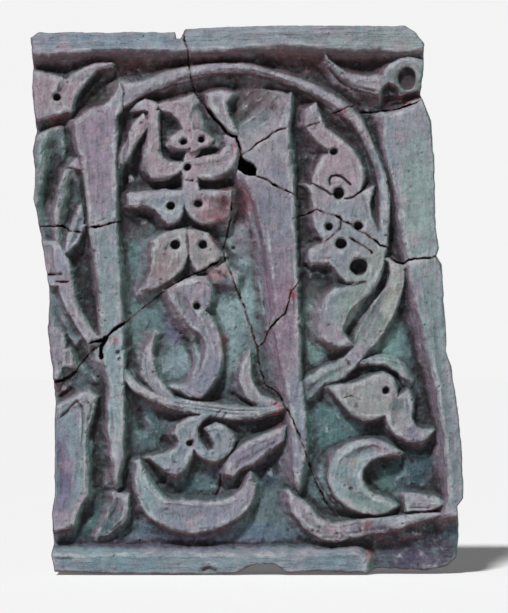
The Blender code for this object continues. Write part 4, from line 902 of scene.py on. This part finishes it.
def clay_material():
    """Fired clay: patches and clouds of tint, painted shade in hollows, under forms and on flanks by the
    way they face, pale rims that are partly wear and partly painted highlight, and the grain of the
    strokes.
    """
    material, shader = new_material("fired_clay_worn_painted_light")
    n = Nodes(material)
    facing = n.add("ShaderNodeSeparateXYZ", {0: n.add("ShaderNodeTexCoord").outputs["Normal"]})
    to_x, to_z = facing.outputs[0], facing.outputs[2]
    hollow, crack = n.attribute("hollow"), n.attribute("crack")
    pale = n.ramp(n.attribute("face"), 0.0, 1.0, 0.3, 1.0)
    dust = n.times(n.attribute("red"), n.ramp(n.cloud(0.006), 0.35, 0.62, 0.15, 0.9))
    # Painted shade: darker where the surface lies below its wider surroundings, less on surfaces facing
    # up, where the light falls.
    painted_shade = n.times(n.ramp(n.attribute("shade"), -0.10, -0.60, 0.0, 0.86),
                   n.ramp(to_z, 0.10, 0.60, 1.0, 0.45))
    # Pale rims on what stands out: partly wear, partly a painted highlight along the edges.
    wear_and_highlight = n.times(n.ramp(hollow, 0.06, 0.40, 0.0, 0.62),
                   n.ramp(n.cloud(0.011), 0.38, 0.62, 0.1, 1.0))

    base = n.attribute("tint", "Color")
    for share, tint in (
            (n.times(pale, n.clouds(0.016, 4.0, 0.5, 0.75, 0.5)), (150, 126, 132)),
            (n.clouds(0.013, 4.0, 0.53, 0.75, 0.42), (118, 142, 142)),
            (n.times(pale, n.clouds(0.010, 4.0, 0.6, 0.8, 0.6)), (160, 146, 134)),
            # Painted light and shade by the way a surface faces: flanks facing left painted a darker
            # purple-grey, flanks facing right a lighter teal, and surfaces facing down painted dark
            # red-brown as shade.
            (n.ramp(to_x, -0.25, -0.8, 0.0, 0.75), (112, 92, 108)),
            (n.ramp(to_x, 0.25, 0.8, 0.0, 0.75), (96, 124, 118)),
            (n.ramp(to_z, -0.25, -0.8, 0.0, 0.8), (86, 59, 62)),
            (n.ramp(n.attribute("side"), 0.0, 1.0), (128, 118, 120)),
            (dust, (124, 64, 74)),
            (n.ramp(crack, 0.3, 1.0, 0.0, 0.45), (105, 76, 78)),
            # Painted shade in the small hollows and creases.
            (n.ramp(hollow, -0.08, -0.5, 0.0, 0.5), (58, 50, 54)),
            (painted_shade, (42, 38, 42)),
            (wear_and_highlight, (170, 172, 176)),
            (n.times(pale, n.clouds(0.0060, 3.0, 0.54, 0.75, 0.35)), (146, 118, 130)),
            (n.clouds(0.0052, 3.0, 0.54, 0.74, 0.28), (102, 134, 138)),
            (n.clouds(0.0032, 2.0, 0.66, 0.75, 0.5), (66, 58, 62))):
        base = n.blend(share, base, (*linear(tint), 1.0))

    lying = n.cloud(0.0024, 3.0, (0.12, 1.0, 1.0))
    standing = n.cloud(0.0026, 3.0, (1.0, 1.0, 0.25))
    sockets = {0: n.attribute("lie"), 2: standing, 3: lying}
    strokes = n.add("ShaderNodeMix", sockets, data_type="FLOAT").outputs[0]
    tone = n.times(n.ramp(n.cloud(0.0015, 3.0), 0.3, 0.7, 0.89, 1.10),
                   n.ramp(n.cloud(0.008, 4.0), 0.3, 0.7, 0.84, 1.12),
                   n.ramp(strokes, 0.3, 0.7, 0.87, 1.10))
    grey = n.add("ShaderNodeCombineColor", {0: tone, 1: tone, 2: tone}).outputs[0]
    n.put(shader["Base Color"], n.blend(1.0, base, grey, "MULTIPLY"))
    n.put(shader["Roughness"], n.ramp(n.cloud(0.012), 0.3, 0.7, 0.78, 0.95))
    n.put(shader["Specular IOR Level"], 0.25)

    sockets = {}
    for field, distance, strength in ((n.cloud(0.0013, 2.0), 0.0008, 0.55), (strokes, 0.0018, 0.9),
                                      (n.cloud(0.0055, 4.0), 0.0024, 0.6)):
        sockets.update(Height=field, Distance=distance, Strength=strength)
        sockets["Normal"] = n.add("ShaderNodeBump", sockets).outputs[0]
    n.put(shader["Normal"], sockets["Normal"])
    return material


def pale_floor(level):
    mesh = bpy.data.meshes.new("floor")
    mesh.from_pydata([(x, y, level) for x, y in FLOOR_CORNERS], [], [(0, 1, 2, 3)])
    floor = placed("floor", mesh)
    material, shader = new_material("pale_floor")
    shader["Base Color"].default_value = FLOOR_COLOUR
    shader["Emission Color"].default_value = (1.0, 1.0, 1.0, 1.0)
    shader["Emission Strength"].default_value = FLOOR_GLOW
    shader["Roughness"].default_value = 0.9
    mesh.materials.append(material)


def studio():
    """A dim sky behind a light backdrop, which only the camera sees, and one soft sun."""
    scene = bpy.context.scene
    scene.view_settings.view_transform = "Standard"
    world = bpy.data.worlds.new("studio")
    world.use_nodes = True
    nodes, links = world.node_tree.nodes, world.node_tree.links
    sky = nodes["Background"]
    sky.inputs["Color"].default_value = SKY_COLOUR
    sky.inputs["Strength"].default_value = SKY_STRENGTH
    seen = nodes.new("ShaderNodeBackground")
    seen.inputs["Color"].default_value = BACKDROP
    either = nodes.new("ShaderNodeMixShader")
    links.new(nodes.new("ShaderNodeLightPath").outputs["Is Camera Ray"], either.inputs[0])
    links.new(sky.outputs[0], either.inputs[1])
    links.new(seen.outputs[0], either.inputs[2])
    links.new(either.outputs[0], nodes["World Output"].inputs["Surface"])
    scene.world = world
    sun = bpy.data.lights.new("key", "SUN")
    sun.energy = SUN_STRENGTH
    sun.angle = math.radians(SUN_WIDTH)
    placed("key", sun).rotation_euler = Vector(SUN_RAYS).to_track_quat("-Z", "Y").to_euler()


def photographer():
    """The camera, straight in front of the tile."""
    camera = bpy.data.cameras.new("camera")
    camera.lens = LENS
    camera.sensor_width = SENSOR
    camera.clip_end = 100.0
    eye = placed("camera", camera)
    distance = VIEW_HEIGHT / 2 / (SENSOR / 2 / LENS)
    eye.location = (VIEW_CENTRE[0], -distance - FACE * MM, VIEW_CENTRE[1])
    eye.rotation_euler = (math.pi / 2, 0.0, 0.0)
    bpy.context.scene.camera = eye


# The places of the grid, and the same places pushed about a little, so that no edge stays straight
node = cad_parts["carved_tile"]
lowest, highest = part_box("carved_tile")
xs = np.arange(lowest.x / MM - MARGIN, highest.x / MM + MARGIN, STEP)
zs = np.arange(lowest.z / MM - MARGIN, highest.z / MM + MARGIN, STEP)
grid_x, grid_z = np.meshgrid(xs, zs)
warp_x, warp_z = (0.40 * noise(grid_x, grid_z, 7.0, seed) + 0.22 * noise(grid_x, grid_z, 2.6, seed + 1)
                  for seed in (11, 13))
wx, wz = grid_x + warp_x, grid_z + warp_z

# Layered noise at the places of the grid
grain = functools.partial(rough, grid_x, grid_z)

# The heights, from the solid's own to the finished surface
solid = measured_heights(wx, wz)
inside = inside_by(outline_loops(node), wx, wz)
height = spread_out(solid)
close_cracks(height, wx, wz)
height = hollow_flanks(height)
carve_unevenly(height, grid_x, grid_z)
model(height, wx, wz)
wear_edges(height)
drill_eyes(height, wx, wz)
near_crack = carve_cracks(height, wx, wz)
carve_lines(height, wx, wz)
sink_pits(height, grid_x, grid_z)
height = np.where(solid < GROUND - DEEP, np.minimum(height, solid), height)
height = np.clip(height, THINNEST, -lowest.y / MM)

# How far each place lies above or below its near and its wider surroundings, and less so on open ground.
# From these the material paints shade in hollows and pale rims, partly wear and partly painted highlight,
# on what stands out; along the outline the rim is made slightly pale.
edge = smoothstep(inside, 0.0, EDGE_BAND)
hollow = np.clip((height - blurred(height, 2.4)) / 2.5, -1.0, 1.0)
hollow = hollow * edge + 0.14 * (1.0 - edge)
shade = np.clip((height - blurred(height, 7.0)) / 7.0, -1.0, 1.0)
shade = shade * (edge * (1.0 - 0.6 * smoothstep(nearest_patch(OPEN, grid_x, grid_z), 0.0, 0.4)))

tile = mesh_object("worn_tile", *tile_shell())
reduce(tile, TRIANGLES)
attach(tile, "root")
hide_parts("carved_tile")
store_looks(tile.data, keep_in_box(tile.data))
tile.data.materials.clear()
tile.data.materials.append(clay_material())

pale_floor(lowest.z)
studio()
photographer()
